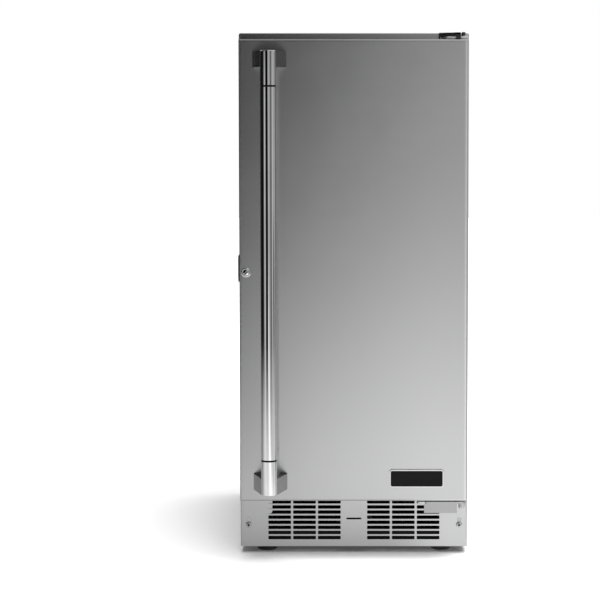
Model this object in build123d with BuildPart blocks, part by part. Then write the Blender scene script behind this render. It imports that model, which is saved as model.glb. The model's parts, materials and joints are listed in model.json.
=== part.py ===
from build123d import *
import math
import os

# Narrow outdoor refrigerator: a stainless cabinet on four levelling legs, with one hinged door over a slotted kick
# plate. X points right seen from the front, the front faces -Y and Z points up. The origin lies on the floor,
# midway between the sides and midway between the front of the handle and the back of the cabinet. Sizes are in
# millimetres.

os.makedirs("parts", exist_ok=True)

# Clearances
running_clearance = 0.05
seat_gap = 0.2
foam_gap = 0.2
moving_gap = 0.4

# Cabinet
case_width = 378.0
case_height = 864.0
case_depth = 556.0
case_sheet = 1.0
case_bend = 3.0
face_bend = 1.6
foot_gap = 12.0
rear_recess = 2.5
rear_return = 12.0

# Walls around the cold space
side_wall = 41.0
top_wall = 42.0
back_wall = 55.0
floor_height = 140.0
step_height = 330.0
step_depth = 188.0
foam_floor = 33.0
liner_wall = 2.0
deck_sheet = 0.8

# Door
door_width = 373.0
door_thickness = 46.0
door_bottom = 98.0
door_top = 852.0
door_sheet = 1.0
door_bend = 3.5
door_return = 22.0
door_gap = 8.0
plug_margin = 8.0
plug_depth = 22.0
plug_edge = 4.0
liner_plate = 2.0
liner_plate_margin = 3.0

# Gasket
gasket_margin = 1.8
gasket_width = 16.0
gasket_base = 1.5
gasket_corner = 4.0
bulb_inset = 2.5
bulb_round = 1.8

# Handle
tube_diameter = 25.4
tube_wall = 1.5
handle_standoff = 54.0
handle_inset = 50.0
handle_bottom = 118.0
handle_top = 832.0
cap_length = 55.0
ring_length = 3.0
ring_inset = 0.4
cap_round = 1.0
spigot_length = 24.0
post_width = 56.0
post_height = 26.0
post_edge = 1.5

# Badge
badge_width = 90.0
badge_height = 30.5
badge_centre_x = 103.0
badge_centre_z = 135.5
badge_thickness = 2.4
badge_corner = 5.0
badge_rim = 2.4
badge_recess = 0.6
badge_edge = 0.6
inlay_thickness = 1.0

# Lock
lock_inset = 11.1
lock_height = 474.0
lock_flange_diameter = 16.0
lock_flange_height = 2.0
lock_flange_round = 0.7
lock_body_diameter = 14.0
lock_body_length = 20.0
plug_diameter = 10.6
plug_proud = 0.5
key_slot_length = 6.5
key_slot_width = 1.6
key_slot_depth = 6.0
cam_boss = 6.0
cam_width = 7.0
cam_hub_diameter = 10.4
cam_thickness = 2.0
cam_reach = 13.1
cam_play = 1.3

# Strike
strike_sheet = 1.2
strike_gap = 1.1
strike_height = 44.0
strike_centre_z = 479.5
strike_foot = 17.0
strike_screw_rise = 14.5
strike_setback = 4.0
strike_chamfer = 5.0

# Hinges
hinge_inset = 8.0
hinge_setback = 22.0
hinge_plate = 3.2
pin_diameter = 8.0
bush_diameter = 12.0
bush_flange_diameter = 16.0
bush_flange = 1.0
bush_length = 14.0
pin_end_gap = 2.0
leaf_round = 12.0
leaf_overhang = 7.0
lower_leaf_gap = 2.0
lower_leaf_left = 117.0
lower_leaf_setback = 5.0
lower_flange_right = 171.6
lower_flange_height = 27.5
pin_boss_diameter = 12.0
pin_boss_height = 10.8
pin_boss_round = 3.0
upper_leaf_gap = 1.4
upper_leaf_left = 150.0
upper_leaf_setback = 13.0
upper_flange_left = 139.4
upper_flange_right = 175.9
upper_flange_rise = 1.0
pin_head_diameter = 11.0
pin_head_height = 4.0

# Kick plate
kick_height = 85.0
kick_sheet = 1.2
kick_return = 18.0
kick_bend = 3.0
kick_bottom_notch = 3.0
slot_width = 38.0
slot_height = 5.9
slot_rib = 3.4
slot_pitch = 8.6
slot_columns = 3
slot_rows = 8
slot_corner = 1.4
bank_gap = 44.0
lowest_row = 26.5
dash_width = 25.0
dash_height = 3.0
dash_centre_z = 58.7
kick_screw_inset = 13.5
kick_screw_height = 48.0
keyhole_width = 6.5
keyhole_rise = 13.0
keyhole_drop = 3.3

# Screws
screw_diameter = 4.8
screw_head_diameter = 10.4
screw_head_height = 2.0
screw_length = 9.0
recess_diameter = 4.2
recess_depth = 1.3
hinge_screw_head_diameter = 7.4
hinge_screw_head_height = 2.0
hinge_screw_inset = 6.0
hinge_screw_step = 9.0
handle_screw_diameter = 6.0
handle_screw_head_diameter = 11.0
handle_screw_head_height = 4.0
handle_screw_length = 18.0

# Base and legs
base_sheet = 1.5
base_rim = 25.0
corner_post_width = 37.0
leg_inset = 43.0
front_leg_setback = 37.0
rear_leg_setback = 45.0
leg_stud_diameter = 10.0
leg_travel = 22.0
leg_nut_diameter = 17.0
leg_nut_height = 20.0
foot_diameter = 34.0
foot_height = 8.0
foot_edge = 1.5
leg_hex = 14.0
leg_hex_height = 3.4

# Condenser and its fan
condenser_width = 264.0
condenser_depth = 44.0
condenser_setback = 50.0
condenser_height = 80.0
condenser_floor_gap = 4.0
condenser_fins = 34
fin_thickness = 0.6
coil_tube_diameter = 8.0
coil_bend_diameter = 7.4
coil_header_diameter = 6.8
coil_rows = 3
coil_reach = 6.0
end_plate = 1.5
shroud_gap = 6.0
shroud_sheet = 2.0
shroud_collar = 20.0
shroud_wall = 2.0
fan_diameter = 70.0
fan_tip_gap = 3.0
fan_hub_diameter = 24.0
fan_hub_length = 14.0
fan_shaft_diameter = 4.0
fan_shaft_length = 16.0
blade_count = 5
blade_chord = 12.0
blade_thickness = 1.6
blade_root = 1.0
blade_pitch = 32.0
motor_diameter = 38.0
motor_length = 36.0
motor_arm = 6.0
motor_edge = 2.0

# Compressor and the parts beside it
compressor_centre_x = -50.0
compressor_setback = 106.0
compressor_diameter = 140.0
compressor_height = 150.0
compressor_dome = 30.0
compressor_plate_width = 158.0
compressor_plate_depth = 118.0
compressor_plate = 3.0
grommet_diameter = 20.0
grommet_height = 10.0
grommet_edge = 2.0
grommet_inset = 14.0
port_diameter = 12.0
port_length = 12.0
port_height = 105.0
suction_port_length = 3.0
seam_width = 6.0
seam_proud = 1.5
line_diameter = 6.4
line_bend = 12.0
line_side_gap = 29.0
line_side_reach = 20.0
line_start = 24.0
line_rise = 30.0
line_height = 80.0
line_hole_gap = 0.5
drier_diameter = 20.0
drier_length = 84.0
drier_round = 5.0
drier_bottom = 120.0
drier_setback = 50.0
drain_pan_width = 90.0
drain_pan_depth = 130.0
drain_pan_height = 26.0
drain_pan_wall = 1.5
drain_pan_corner = 6.0
drain_pan_behind = 30.0
drain_pan_left = 42.0
drain_diameter = 14.0
drain_wall = 1.5
drain_x = 86.0
drain_flange_diameter = 24.0
drain_flange = 1.5
drain_air_gap = 4.0

# Back of the cabinet
cover_sheet = 1.0
cover_slot_length = 70.0
cover_slot_height = 5.0
cover_slot_pitch = 14.0
cover_slot_rows = 12
cover_slot_columns = 3
cover_slot_column_pitch = 84.0
gland_x = 150.0
gland_z = 60.0
gland_bore = 8.0
gland_stem_diameter = 16.0
gland_flange_diameter = 24.0
gland_flange = 2.0
gland_nut_diameter = 24.0
gland_nut = 6.0
gland_length = 22.0

# Evaporator and its cover
evaporator_width = 210.0
evaporator_depth = 28.0
evaporator_bottom = 384.0
evaporator_height = 240.0
evaporator_fins = 30
evaporator_rows = 6
evaporator_reach = 8.0
evaporator_back_gap = 2.0
duct_depth = 46.0
duct_wall = 2.0
duct_side_gap = 14.0
duct_top_gap = 6.0
duct_edge = 4.0
duct_fan_height = 722.0
intake_height = 34.0
duct_slot_height = 4.6
duct_slot_pitch = 9.0
duct_slots = 9
intake_slot_length = 60.0
intake_slots = 4
duct_fan_tip_gap = 3.0
duct_fan_diameter = 84.0
duct_motor_length = 14.0
duct_motor_plate = 2.0
duct_motor_plate_width = 60.0

# Shelves and racks
rack_wall = 2.0
rack_bottom_gap = 14.0
rack_top_gap = 60.0
rack_front_setback = 26.0
rib_pitch = 60.0
rib_height = 4.0
rib_width = 8.0
shelf_front_setback = 34.0
shelf_back_gap = 9.0
shelf_side_gap = 1.5
frame_wire = 6.0
frame_corner = 12.0
cross_wire = 3.2
wire_weld = 0.4
cross_wires = 17
shelf_rib_numbers = {"shelf_lower": 2, "shelf_middle": 5, "shelf_upper": 8}

# Controls
control_width = 220.0
control_height = 30.0
control_depth = 80.0
control_setback = 28.0
control_wall = 2.0
control_edge = 3.5
display_width = 52.0
display_height = 17.0
display_thickness = 2.0
display_ledge = 8.0
button_diameter = 11.0
button_proud = 2.4
button_length = 13.0
button_travel = 2.0
button_round = 0.8
button_collar = 1.0
button_places = {"button_light": -72.0, "button_colder": 52.0, "button_warmer": 76.0}
board_thickness = 1.6
board_inset = 6.0
switch_diameter = 7.0
lens_width = 130.0
lens_depth = 24.0
lens_thickness = 3.0
lens_proud = 1.0

# Places worked out from the sizes
half_width = case_width / 2
total_depth = handle_standoff + tube_diameter / 2 + door_thickness + door_gap + case_depth
door_front = handle_standoff + tube_diameter / 2 - total_depth / 2
door_back = door_front + door_thickness
case_front = door_back + door_gap
case_back = case_front + case_depth
panel_outer = case_back - rear_recess
panel_inner = panel_outer - cover_sheet
kick_top = foot_gap + kick_height

cavity_half = half_width - side_wall
cavity_top = case_height - top_wall
cavity_back = case_back - back_wall
step_front = cavity_back - step_depth
opening_half = cavity_half + liner_wall + seat_gap
opening_top = cavity_top + liner_wall + seat_gap
opening_bottom = floor_height - liner_wall - seat_gap
deck_low = floor_height - liner_wall - foam_floor
deck_high = step_height - liner_wall - foam_floor
bay_front = step_front + liner_wall + foam_floor

door_half = door_width / 2
hinge_x = door_half - hinge_inset
hinge_y = door_front + hinge_setback
handle_x = -door_half + handle_inset
handle_y = door_front - handle_standoff
tube_radius = tube_diameter / 2
lock_x = -door_half + lock_inset

gasket_inner_half = opening_half + gasket_margin
gasket_inner_low = opening_bottom - gasket_margin
gasket_inner_high = opening_top + gasket_margin
gasket_outer_half = gasket_inner_half + gasket_width
gasket_outer_low = gasket_inner_low - gasket_width
gasket_outer_high = gasket_inner_high + gasket_width
plug_half = cavity_half - plug_margin
plug_low = floor_height + plug_margin
plug_high = cavity_top - plug_margin
plug_back = door_back + liner_plate + plug_depth

base_top = foot_gap + base_sheet
post_front = case_front + kick_sheet + seat_gap / 2
leg_x = half_width - leg_inset
front_leg_y = case_front + front_leg_setback
rear_leg_y = case_back - rear_leg_setback
leg_radius = leg_stud_diameter / 2
leg_places = {
    "leg_front_left": (-leg_x, front_leg_y),
    "leg_front_right": (leg_x, front_leg_y),
    "leg_rear_left": (-leg_x, rear_leg_y),
    "leg_rear_right": (leg_x, rear_leg_y),
}


def block(x_span, y_span, z_span, mode=Mode.ADD):
    """Adds or cuts a box that runs between two values on each axis."""
    spans = (x_span, y_span, z_span)
    centre = tuple((low + high) / 2 for low, high in spans)
    with Locations(centre):
        Box(*(high - low for low, high in spans), mode=mode)


def rod(start, end, radius, mode=Mode.ADD):
    """Adds or cuts a round bar that runs from one point to another."""
    run = Vector(*end) - Vector(*start)
    with Locations(Plane(origin=start, z_dir=run).location):
        Cylinder(radius, run.length, align=(Align.CENTER, Align.CENTER, Align.MIN), mode=mode)


def along_y(x, z, y_start, y_end, radius, mode=Mode.ADD):
    """Adds or cuts a round bar that runs front to back."""
    rod((x, y_start, z), (x, y_end, z), radius, mode)


def upright(x, y, z_start, z_end, radius, mode=Mode.ADD):
    """Adds or cuts a round bar that stands upright."""
    rod((x, y, z_start), (x, y, z_end), radius, mode)


def screw_along_y(x, z, seat, outward, head_diameter, head_height):
    """Adds a pan head screw with a drive recess. Its head stands on Y = seat and points outward, -1 or 1."""
    head_end = seat + outward * head_height
    along_y(x, z, seat, head_end, head_diameter / 2)
    along_y(x, z, seat, seat - outward * screw_length, screw_diameter / 2)
    along_y(x, z, head_end, head_end - outward * recess_depth, recess_diameter / 2, Mode.SUBTRACT)


def screw_hole_along_y(x, z, y_start, y_end):
    """Cuts a screw's clearance hole from front to back."""
    along_y(x, z, y_start, y_end, screw_diameter / 2 + running_clearance, Mode.SUBTRACT)


def swept_line(points, radii, diameter):
    """Returns a solid round tube along straight runs that are joined by tangent arcs."""
    with BuildPart() as line:
        with BuildLine() as route:
            FilletPolyline(*points, radius=radii)
        with BuildSketch(Plane(origin=points[0], z_dir=route.line % 0)):
            Circle(diameter / 2)
        sweep(path=route.line)
    return line.part


def cold_outline(grow):
    """Side outline of the cold space with its step, moved outward by grow, as (Y, Z) points."""
    return [
        (case_front, floor_height - grow),
        (step_front + grow, floor_height - grow),
        (step_front + grow, step_height - grow),
        (cavity_back + grow, step_height - grow),
        (cavity_back + grow, cavity_top + grow),
        (case_front, cavity_top + grow),
    ]


# Where the screws are
kick_screws = [(side * (half_width - kick_screw_inset), kick_screw_height) for side in (-1, 1)]
cover_screw_x = half_width - case_sheet - rear_return / 2
cover_screw_z = [base_top + rear_return, (base_top + deck_high) / 2, deck_high - rear_return]
back_screw_z = [deck_high + rear_return * 2, (deck_high + case_height) / 2, case_height - rear_return * 2]
rear_screws = [(side * cover_screw_x, z) for side in (-1, 1) for z in cover_screw_z + back_screw_z]
strike_screw_x = -door_half - strike_gap + strike_foot / 2
strike_screws = [(strike_screw_x, strike_centre_z + side * strike_screw_rise) for side in (-1, 1)]
lower_screw_z = door_bottom - lower_leaf_gap - hinge_plate - hinge_screw_head_diameter / 2 - moving_gap
upper_screw_z = door_top + upper_leaf_gap + hinge_plate + hinge_screw_head_diameter / 2 + moving_gap / 2
lower_screw_x = lower_flange_right - hinge_screw_inset
upper_screw_x = upper_flange_left + hinge_screw_inset
lower_hinge_screws = [(x, lower_screw_z) for x in (lower_screw_x, lower_screw_x - hinge_screw_step)]
upper_hinge_screws = [(x, upper_screw_z) for x in (upper_screw_x, upper_screw_x + hinge_screw_step)]
handle_screws_z = [handle_bottom + post_height / 2, handle_top - post_height / 2]

# Holes where the refrigerant lines and the drain pass through the insulated step
line_x = evaporator_width / 2 + line_side_reach
line_y = cavity_back - evaporator_back_gap - evaporator_depth / 2
step_holes = [
    (-line_x, line_y, line_diameter / 2 + line_hole_gap),
    (line_x, line_y, line_diameter / 2 + line_hole_gap),
    (drain_x, line_y, drain_diameter / 2 + running_clearance),
]


# Outer case: one folded stainless sheet for the sides, the top and the face around the opening
case_low = foot_gap
with BuildPart() as outer_case:
    block((-half_width, half_width), (case_front, case_back), (case_low, case_height))
    fillet(outer_case.edges().filter_by(Axis.Y).group_by(Axis.Z)[-1], case_bend)
    front_edges = outer_case.faces().sort_by(Axis.Y)[0].edges()
    fillet(front_edges.sort_by(Axis.Z)[1:], face_bend)
    open_faces = [outer_case.faces().sort_by(Axis.Z)[0], outer_case.faces().sort_by(Axis.Y)[-1]]
    offset(amount=-case_sheet, openings=open_faces)
    block(
        (-opening_half, opening_half),
        (case_front - case_sheet, case_front + 2 * case_sheet),
        (case_low, opening_top),
        Mode.SUBTRACT,
    )
    block(
        (-half_width, half_width),
        (case_front - case_sheet, case_front + kick_return + seat_gap),
        (case_low, kick_top + seat_gap),
        Mode.SUBTRACT,
    )
    return_span = (panel_inner - case_sheet, panel_inner)
    inside_half = half_width - case_sheet
    block((-inside_half, inside_half), return_span, (case_low, case_height - case_sheet))
    block(
        (-inside_half + rear_return, inside_half - rear_return),
        return_span,
        (case_low, case_height - case_sheet - rear_return),
        Mode.SUBTRACT,
    )
    block((-inside_half, inside_half), return_span, (case_low, base_top + base_rim + seat_gap), Mode.SUBTRACT)
    for x, z in rear_screws:
        screw_hole_along_y(x, z, return_span[0], return_span[1])
    for x, z in strike_screws + upper_hinge_screws:
        screw_hole_along_y(x, z, case_front - case_sheet, case_front + 2 * case_sheet)
outer_case.part.label = "outer_case"
export_step(outer_case.part, "parts/outer_case.step")

# Base pan with its rim, two corner posts at the front and the welded nuts for the legs
pan_half = half_width - case_sheet
pan_front = case_front + kick_return + seat_gap
pan_back = panel_inner - seat_gap
with BuildPart() as base_pan:
    block((-pan_half, pan_half), (pan_front, pan_back), (foot_gap, base_top + base_rim))
    block(
        (-pan_half + base_sheet, pan_half - base_sheet),
        (pan_front + base_sheet, pan_back - base_sheet),
        (base_top, base_top + base_rim + base_sheet),
        Mode.SUBTRACT,
    )
    for side in (-1, 1):
        outer = half_width - kick_sheet - seat_gap
        post_x = sorted((side * outer, side * (outer - corner_post_width)))
        block(post_x, (post_front, post_front + base_sheet), (foot_gap, kick_top))
        block(post_x, (post_front, pan_front + base_sheet), (foot_gap, base_top))
        web_x = sorted((side * (outer - corner_post_width), side * (outer - corner_post_width + base_sheet)))
        block(web_x, (post_front, pan_front + base_sheet), (foot_gap, kick_top))
    for x, y in leg_places.values():
        upright(x, y, base_top, base_top + leg_nut_height, leg_nut_diameter / 2)
        upright(x, y, foot_gap, base_top + leg_nut_height, leg_radius + running_clearance, Mode.SUBTRACT)
    for x, z in kick_screws + lower_hinge_screws:
        screw_hole_along_y(x, z, post_front - base_sheet, post_front + 2 * base_sheet)
    for x, z in rear_screws:
        screw_hole_along_y(x, z, pan_back - 2 * base_sheet, pan_back)
base_pan.part.label = "base_pan"
export_step(base_pan.part, "parts/base_pan.step")

# Sill below the opening, behind the lower edge of the door
with BuildPart() as sill_rail:
    sill_half = opening_half - seat_gap
    sill_low = kick_top + seat_gap
    block((-sill_half, sill_half), (case_front, case_front + case_sheet), (sill_low, opening_bottom))
    block((-sill_half, sill_half), (case_front, pan_front), (sill_low, sill_low + case_sheet))
sill_rail.part.label = "sill_rail"
export_step(sill_rail.part, "parts/sill_rail.step")

# Deck: the sheet that closes the foam over the machine space and the compressor bay
deck_front = case_front + case_sheet + foam_gap
deck_back = panel_inner - case_sheet - seat_gap
with BuildPart() as machine_deck:
    with BuildSketch(Plane.YZ) as deck_outline:
        with BuildLine():
            Polyline(
                (deck_front, deck_low - deck_sheet),
                (bay_front + deck_sheet, deck_low - deck_sheet),
                (bay_front + deck_sheet, deck_high - deck_sheet),
                (deck_back, deck_high - deck_sheet),
                (deck_back, deck_high),
                (bay_front, deck_high),
                (bay_front, deck_low),
                (deck_front, deck_low),
                close=True,
            )
        make_face()
    extrude(amount=half_width - case_sheet - seat_gap, both=True)
    for x, y, radius in step_holes:
        upright(x, y, deck_high - 2 * deck_sheet, deck_high + deck_sheet, radius, Mode.SUBTRACT)
machine_deck.part.label = "machine_deck"
export_step(machine_deck.part, "parts/machine_deck.step")

# Inner liner: the moulded white tub of the cold space, with a step over the compressor
with BuildPart() as inner_liner:
    with BuildSketch(Plane.YZ):
        with BuildLine():
            Polyline(*cold_outline(liner_wall), close=True)
        make_face()
    extrude(amount=cavity_half + liner_wall, both=True)
    with BuildSketch(Plane.YZ):
        with BuildLine():
            Polyline(*cold_outline(0.0), close=True)
        make_face()
    extrude(amount=cavity_half, both=True, mode=Mode.SUBTRACT)
    for x, y, radius in step_holes:
        upright(x, y, step_height - 2 * liner_wall, step_height + liner_wall, radius, Mode.SUBTRACT)
inner_liner.part.label = "inner_liner"
export_step(inner_liner.part, "parts/inner_liner.step")

# Cabinet foam between the case and the liner
foam_half = half_width - case_sheet - foam_gap
foam_back = panel_inner - case_sheet - foam_gap
screw_pocket = screw_diameter / 2 + foam_gap
with BuildPart() as cabinet_foam:
    with BuildSketch(Plane.YZ):
        with BuildLine():
            Polyline(
                (case_front + case_sheet + foam_gap, deck_low + foam_gap),
                (bay_front - foam_gap, deck_low + foam_gap),
                (bay_front - foam_gap, deck_high + foam_gap),
                (foam_back, deck_high + foam_gap),
                (foam_back, case_height - case_sheet - foam_gap),
                (case_front + case_sheet + foam_gap, case_height - case_sheet - foam_gap),
                close=True,
            )
        make_face()
    extrude(amount=foam_half, both=True)
    fillet(cabinet_foam.edges().filter_by(Axis.Y).group_by(Axis.Z)[-1], case_bend)
    with BuildSketch(Plane.YZ):
        with BuildLine():
            Polyline(*cold_outline(liner_wall + foam_gap), close=True)
        make_face()
    extrude(amount=cavity_half + liner_wall + foam_gap, both=True, mode=Mode.SUBTRACT)
    for x, y, radius in step_holes:
        upright(x, y, deck_high - foam_gap, step_height, radius + foam_gap, Mode.SUBTRACT)
    for x, z in strike_screws + upper_hinge_screws:
        along_y(x, z, case_front, case_front + screw_length + foam_gap, screw_pocket, Mode.SUBTRACT)
    for x, z in rear_screws:
        along_y(x, z, panel_outer - screw_length - foam_gap, case_back, screw_pocket, Mode.SUBTRACT)
cabinet_foam.part.label = "cabinet_foam"
export_step(cabinet_foam.part, "parts/cabinet_foam.step")

# Back panel over the foam
panel_half = half_width - case_sheet - seat_gap
with BuildPart() as back_panel:
    block(
        (-panel_half, panel_half),
        (panel_inner, panel_outer),
        (deck_high + seat_gap / 2, case_height - case_sheet - seat_gap),
    )
    fillet(back_panel.edges().filter_by(Axis.Y).group_by(Axis.Z)[-1], case_bend)
    for x, z in rear_screws:
        screw_hole_along_y(x, z, panel_inner - cover_sheet, panel_outer + cover_sheet)
back_panel.part.label = "back_panel"
export_step(back_panel.part, "parts/back_panel.step")

# Slotted cover of the compressor bay
with BuildPart() as bay_cover:
    block((-panel_half, panel_half), (panel_inner, panel_outer), (base_top, deck_high - seat_gap / 2))
    with BuildSketch(Plane.XZ.offset(-panel_inner)):
        with Locations((0, (base_top + base_rim + deck_high) / 2)):
            column_pitch = cover_slot_column_pitch
            with GridLocations(column_pitch, cover_slot_pitch, cover_slot_columns, cover_slot_rows):
                SlotOverall(cover_slot_length, cover_slot_height)
    extrude(amount=-cover_sheet, mode=Mode.SUBTRACT)
    for x, z in rear_screws:
        screw_hole_along_y(x, z, panel_inner - cover_sheet, panel_outer + cover_sheet)
    gland_hole = gland_stem_diameter / 2 + running_clearance
    along_y(gland_x, gland_z, panel_inner, panel_outer, gland_hole, Mode.SUBTRACT)
bay_cover.part.label = "bay_cover"
export_step(bay_cover.part, "parts/bay_cover.step")

# Gland in the bay cover where a supply cord would enter
with BuildPart() as power_gland:
    along_y(gland_x, gland_z, panel_outer, panel_outer + gland_flange, gland_flange_diameter / 2)
    along_y(gland_x, gland_z, panel_outer - gland_length, panel_outer, gland_stem_diameter / 2)
    with BuildSketch(Plane.XZ.offset(-panel_inner)):
        with Locations((gland_x, gland_z)):
            RegularPolygon(gland_nut_diameter / 2, 6)
    extrude(amount=gland_nut)
    gland_end = panel_outer - gland_length
    along_y(gland_x, gland_z, gland_end, panel_outer + gland_flange, gland_bore / 2, Mode.SUBTRACT)
power_gland.part.label = "power_gland"
export_step(power_gland.part, "parts/power_gland.step")

# Kick plate with two banks of slots, a short slot between them and a keyhole at each end
bank_width = slot_columns * slot_width + (slot_columns - 1) * slot_rib
bank_centre = (bank_gap + bank_width) / 2
rows_centre = lowest_row + (slot_rows - 1) * slot_pitch / 2
with BuildPart() as kick_plate:
    with BuildSketch(Plane.XY.offset(foot_gap)):
        with Locations((0, case_front + kick_return / 2)):
            kick_outline = Rectangle(case_width, kick_return)
        fillet(kick_outline.vertices().group_by(Axis.Y)[0], kick_bend)
        with Locations((0, case_front + kick_sheet + kick_return / 2)):
            Rectangle(case_width - 2 * kick_sheet, kick_return, mode=Mode.SUBTRACT)
    extrude(amount=kick_height)
    with BuildSketch(Plane.XZ.offset(-case_front)):
        for side in (-1, 1):
            with Locations((side * bank_centre, rows_centre)):
                with GridLocations(slot_width + slot_rib, slot_pitch, slot_columns, slot_rows):
                    RectangleRounded(slot_width, slot_height, slot_corner)
        with Locations((0, dash_centre_z)):
            SlotOverall(dash_width, dash_height)
        for x, z in kick_screws:
            with Locations((x, z + (keyhole_rise - keyhole_drop) / 2)):
                SlotOverall(keyhole_rise + keyhole_drop, keyhole_width, rotation=90)
    extrude(amount=-kick_sheet, mode=Mode.SUBTRACT)
    for x, z in lower_hinge_screws:
        screw_hole_along_y(x, z, case_front - kick_sheet, case_front + 2 * kick_sheet)
    block(
        (-half_width, half_width),
        (case_front + kick_bend, case_front + kick_return),
        (foot_gap, foot_gap + kick_bottom_notch),
        Mode.SUBTRACT,
    )
kick_plate.part.label = "kick_plate"
export_step(kick_plate.part, "parts/kick_plate.step")

# Pan head screws of the kick plate, the lock strike and the two panels at the back
with BuildPart() as panel_screws:
    for x, z in kick_screws:
        screw_along_y(x, z, case_front, -1, screw_head_diameter, screw_head_height)
    for x, z in strike_screws:
        screw_along_y(x, z, case_front - strike_sheet, -1, screw_head_diameter, screw_head_height)
    for x, z in rear_screws:
        screw_along_y(x, z, panel_outer, 1, screw_head_diameter, screw_head_height)
panel_screws.part.label = "panel_screws"
export_step(panel_screws.part, "parts/panel_screws.step")

# Lower hinge bracket: a leaf under the door and a flange in front of the kick plate
leaf_right = hinge_x + leaf_overhang
pin_hole = pin_diameter / 2 + running_clearance
lower_leaf_top = door_bottom - lower_leaf_gap
lower_leaf_low = lower_leaf_top - hinge_plate
with BuildPart() as lower_hinge_bracket:
    with BuildSketch(Plane.XY.offset(lower_leaf_low)):
        with BuildLine():
            lower_leaf = FilletPolyline(
                (lower_leaf_left, case_front),
                (lower_leaf_left, door_front + lower_leaf_setback),
                (leaf_right, door_front + lower_leaf_setback),
                (leaf_right, case_front),
                radius=(hinge_plate, leaf_round),
            )
            Line(lower_leaf @ 1, lower_leaf @ 0)
        make_face()
    extrude(amount=hinge_plate)
    block(
        (lower_leaf_left, lower_flange_right),
        (case_front - hinge_plate, case_front),
        (lower_leaf_top - lower_flange_height, lower_leaf_top),
    )
    upright(hinge_x, hinge_y, lower_leaf_low, lower_leaf_top, pin_hole, Mode.SUBTRACT)
    for x, z in lower_hinge_screws:
        screw_hole_along_y(x, z, case_front - 2 * hinge_plate, case_front + hinge_plate)
lower_hinge_bracket.part.label = "lower_hinge_bracket"
export_step(lower_hinge_bracket.part, "parts/lower_hinge_bracket.step")

# Upper hinge bracket: a leaf over the door and a flange in front of the top rail
upper_leaf_low = door_top + upper_leaf_gap
upper_leaf_top = upper_leaf_low + hinge_plate
with BuildPart() as upper_hinge_bracket:
    with BuildSketch(Plane.XY.offset(upper_leaf_low)):
        with BuildLine():
            upper_leaf = FilletPolyline(
                (upper_leaf_left, case_front),
                (upper_leaf_left, door_front + upper_leaf_setback),
                (leaf_right, door_front + upper_leaf_setback),
                (leaf_right, case_front),
                radius=(hinge_plate, leaf_overhang),
            )
            Line(upper_leaf @ 1, upper_leaf @ 0)
        make_face()
    extrude(amount=hinge_plate)
    block(
        (upper_flange_left, upper_flange_right),
        (case_front - hinge_plate, case_front),
        (upper_leaf_low, case_height + upper_flange_rise),
    )
    upright(hinge_x, hinge_y, upper_leaf_low, upper_leaf_top, pin_hole, Mode.SUBTRACT)
    for x, z in upper_hinge_screws:
        screw_hole_along_y(x, z, case_front - 2 * hinge_plate, case_front + hinge_plate)
upper_hinge_bracket.part.label = "upper_hinge_bracket"
export_step(upper_hinge_bracket.part, "parts/upper_hinge_bracket.step")

# Hinge pins: the lower one stands up from a boss and the upper one hangs from a head
with BuildPart() as hinge_pins:
    upright(hinge_x, hinge_y, lower_leaf_low - pin_boss_height, lower_leaf_low, pin_boss_diameter / 2)
    fillet(hinge_pins.edges().filter_by(GeomType.CIRCLE).sort_by(Axis.Z)[0], pin_boss_round)
    upright(hinge_x, hinge_y, lower_leaf_low, door_bottom + bush_length - pin_end_gap, pin_diameter / 2)
    upright(hinge_x, hinge_y, upper_leaf_top, upper_leaf_top + pin_head_height, pin_head_diameter / 2)
    upright(hinge_x, hinge_y, door_top - bush_length + pin_end_gap, upper_leaf_top, pin_diameter / 2)
hinge_pins.part.label = "hinge_pins"
export_step(hinge_pins.part, "parts/hinge_pins.step")

# Screws of the two hinge brackets
with BuildPart() as hinge_screws:
    for x, z in lower_hinge_screws + upper_hinge_screws:
        screw_along_y(
            x, z, case_front - hinge_plate, -1, hinge_screw_head_diameter, hinge_screw_head_height
        )
hinge_screws.part.label = "hinge_screws"
export_step(hinge_screws.part, "parts/hinge_screws.step")

# Lock strike: an angle on the left of the face whose leaf stands beside the door, with a slot for the cam
strike_x = (-door_half - strike_gap - strike_sheet, -door_half - strike_gap)
strike_y = (door_front + strike_setback, case_front)
strike_z = (strike_centre_z - strike_height / 2, strike_centre_z + strike_height / 2)
cam_front = door_front + lock_body_length + moving_gap
cam_y = (cam_front, cam_front + cam_thickness)
cam_slot_y = (cam_y[0] - cam_play, cam_y[1] + cam_play)
cam_slot_z = (lock_height - lock_inset - cam_play, lock_height + cam_width / 2 + cam_play)
with BuildPart() as lock_strike:
    block(strike_x, strike_y, strike_z)
    front_corners = lock_strike.edges().filter_by(Axis.X).group_by(Axis.Y)[0]
    chamfer(front_corners, strike_chamfer)
    block((strike_x[0], strike_x[0] + strike_foot), (case_front - strike_sheet, case_front), strike_z)
    block((strike_x[0] - strike_sheet, strike_x[1] + strike_sheet), cam_slot_y, cam_slot_z, Mode.SUBTRACT)
    for x, z in strike_screws:
        screw_hole_along_y(x, z, case_front - 2 * strike_sheet, case_front)
lock_strike.part.label = "lock_strike"
export_step(lock_strike.part, "parts/lock_strike.step")

# Legs: a stud in a welded nut, with a hexagon and a round foot
for name, (x, y) in leg_places.items():
    with BuildPart() as leg:
        upright(x, y, 0, foot_height, foot_diameter / 2)
        chamfer(leg.edges().filter_by(GeomType.CIRCLE), foot_edge)
        with BuildSketch(Plane.XY.offset(foot_height)):
            with Locations((x, y)):
                RegularPolygon(leg_hex / 2, 6)
        extrude(amount=leg_hex_height)
        upright(x, y, foot_height, base_top + leg_nut_height + leg_travel, leg_radius)
    leg.part.label = name
    export_step(leg.part, f"parts/{name}.step")


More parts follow.
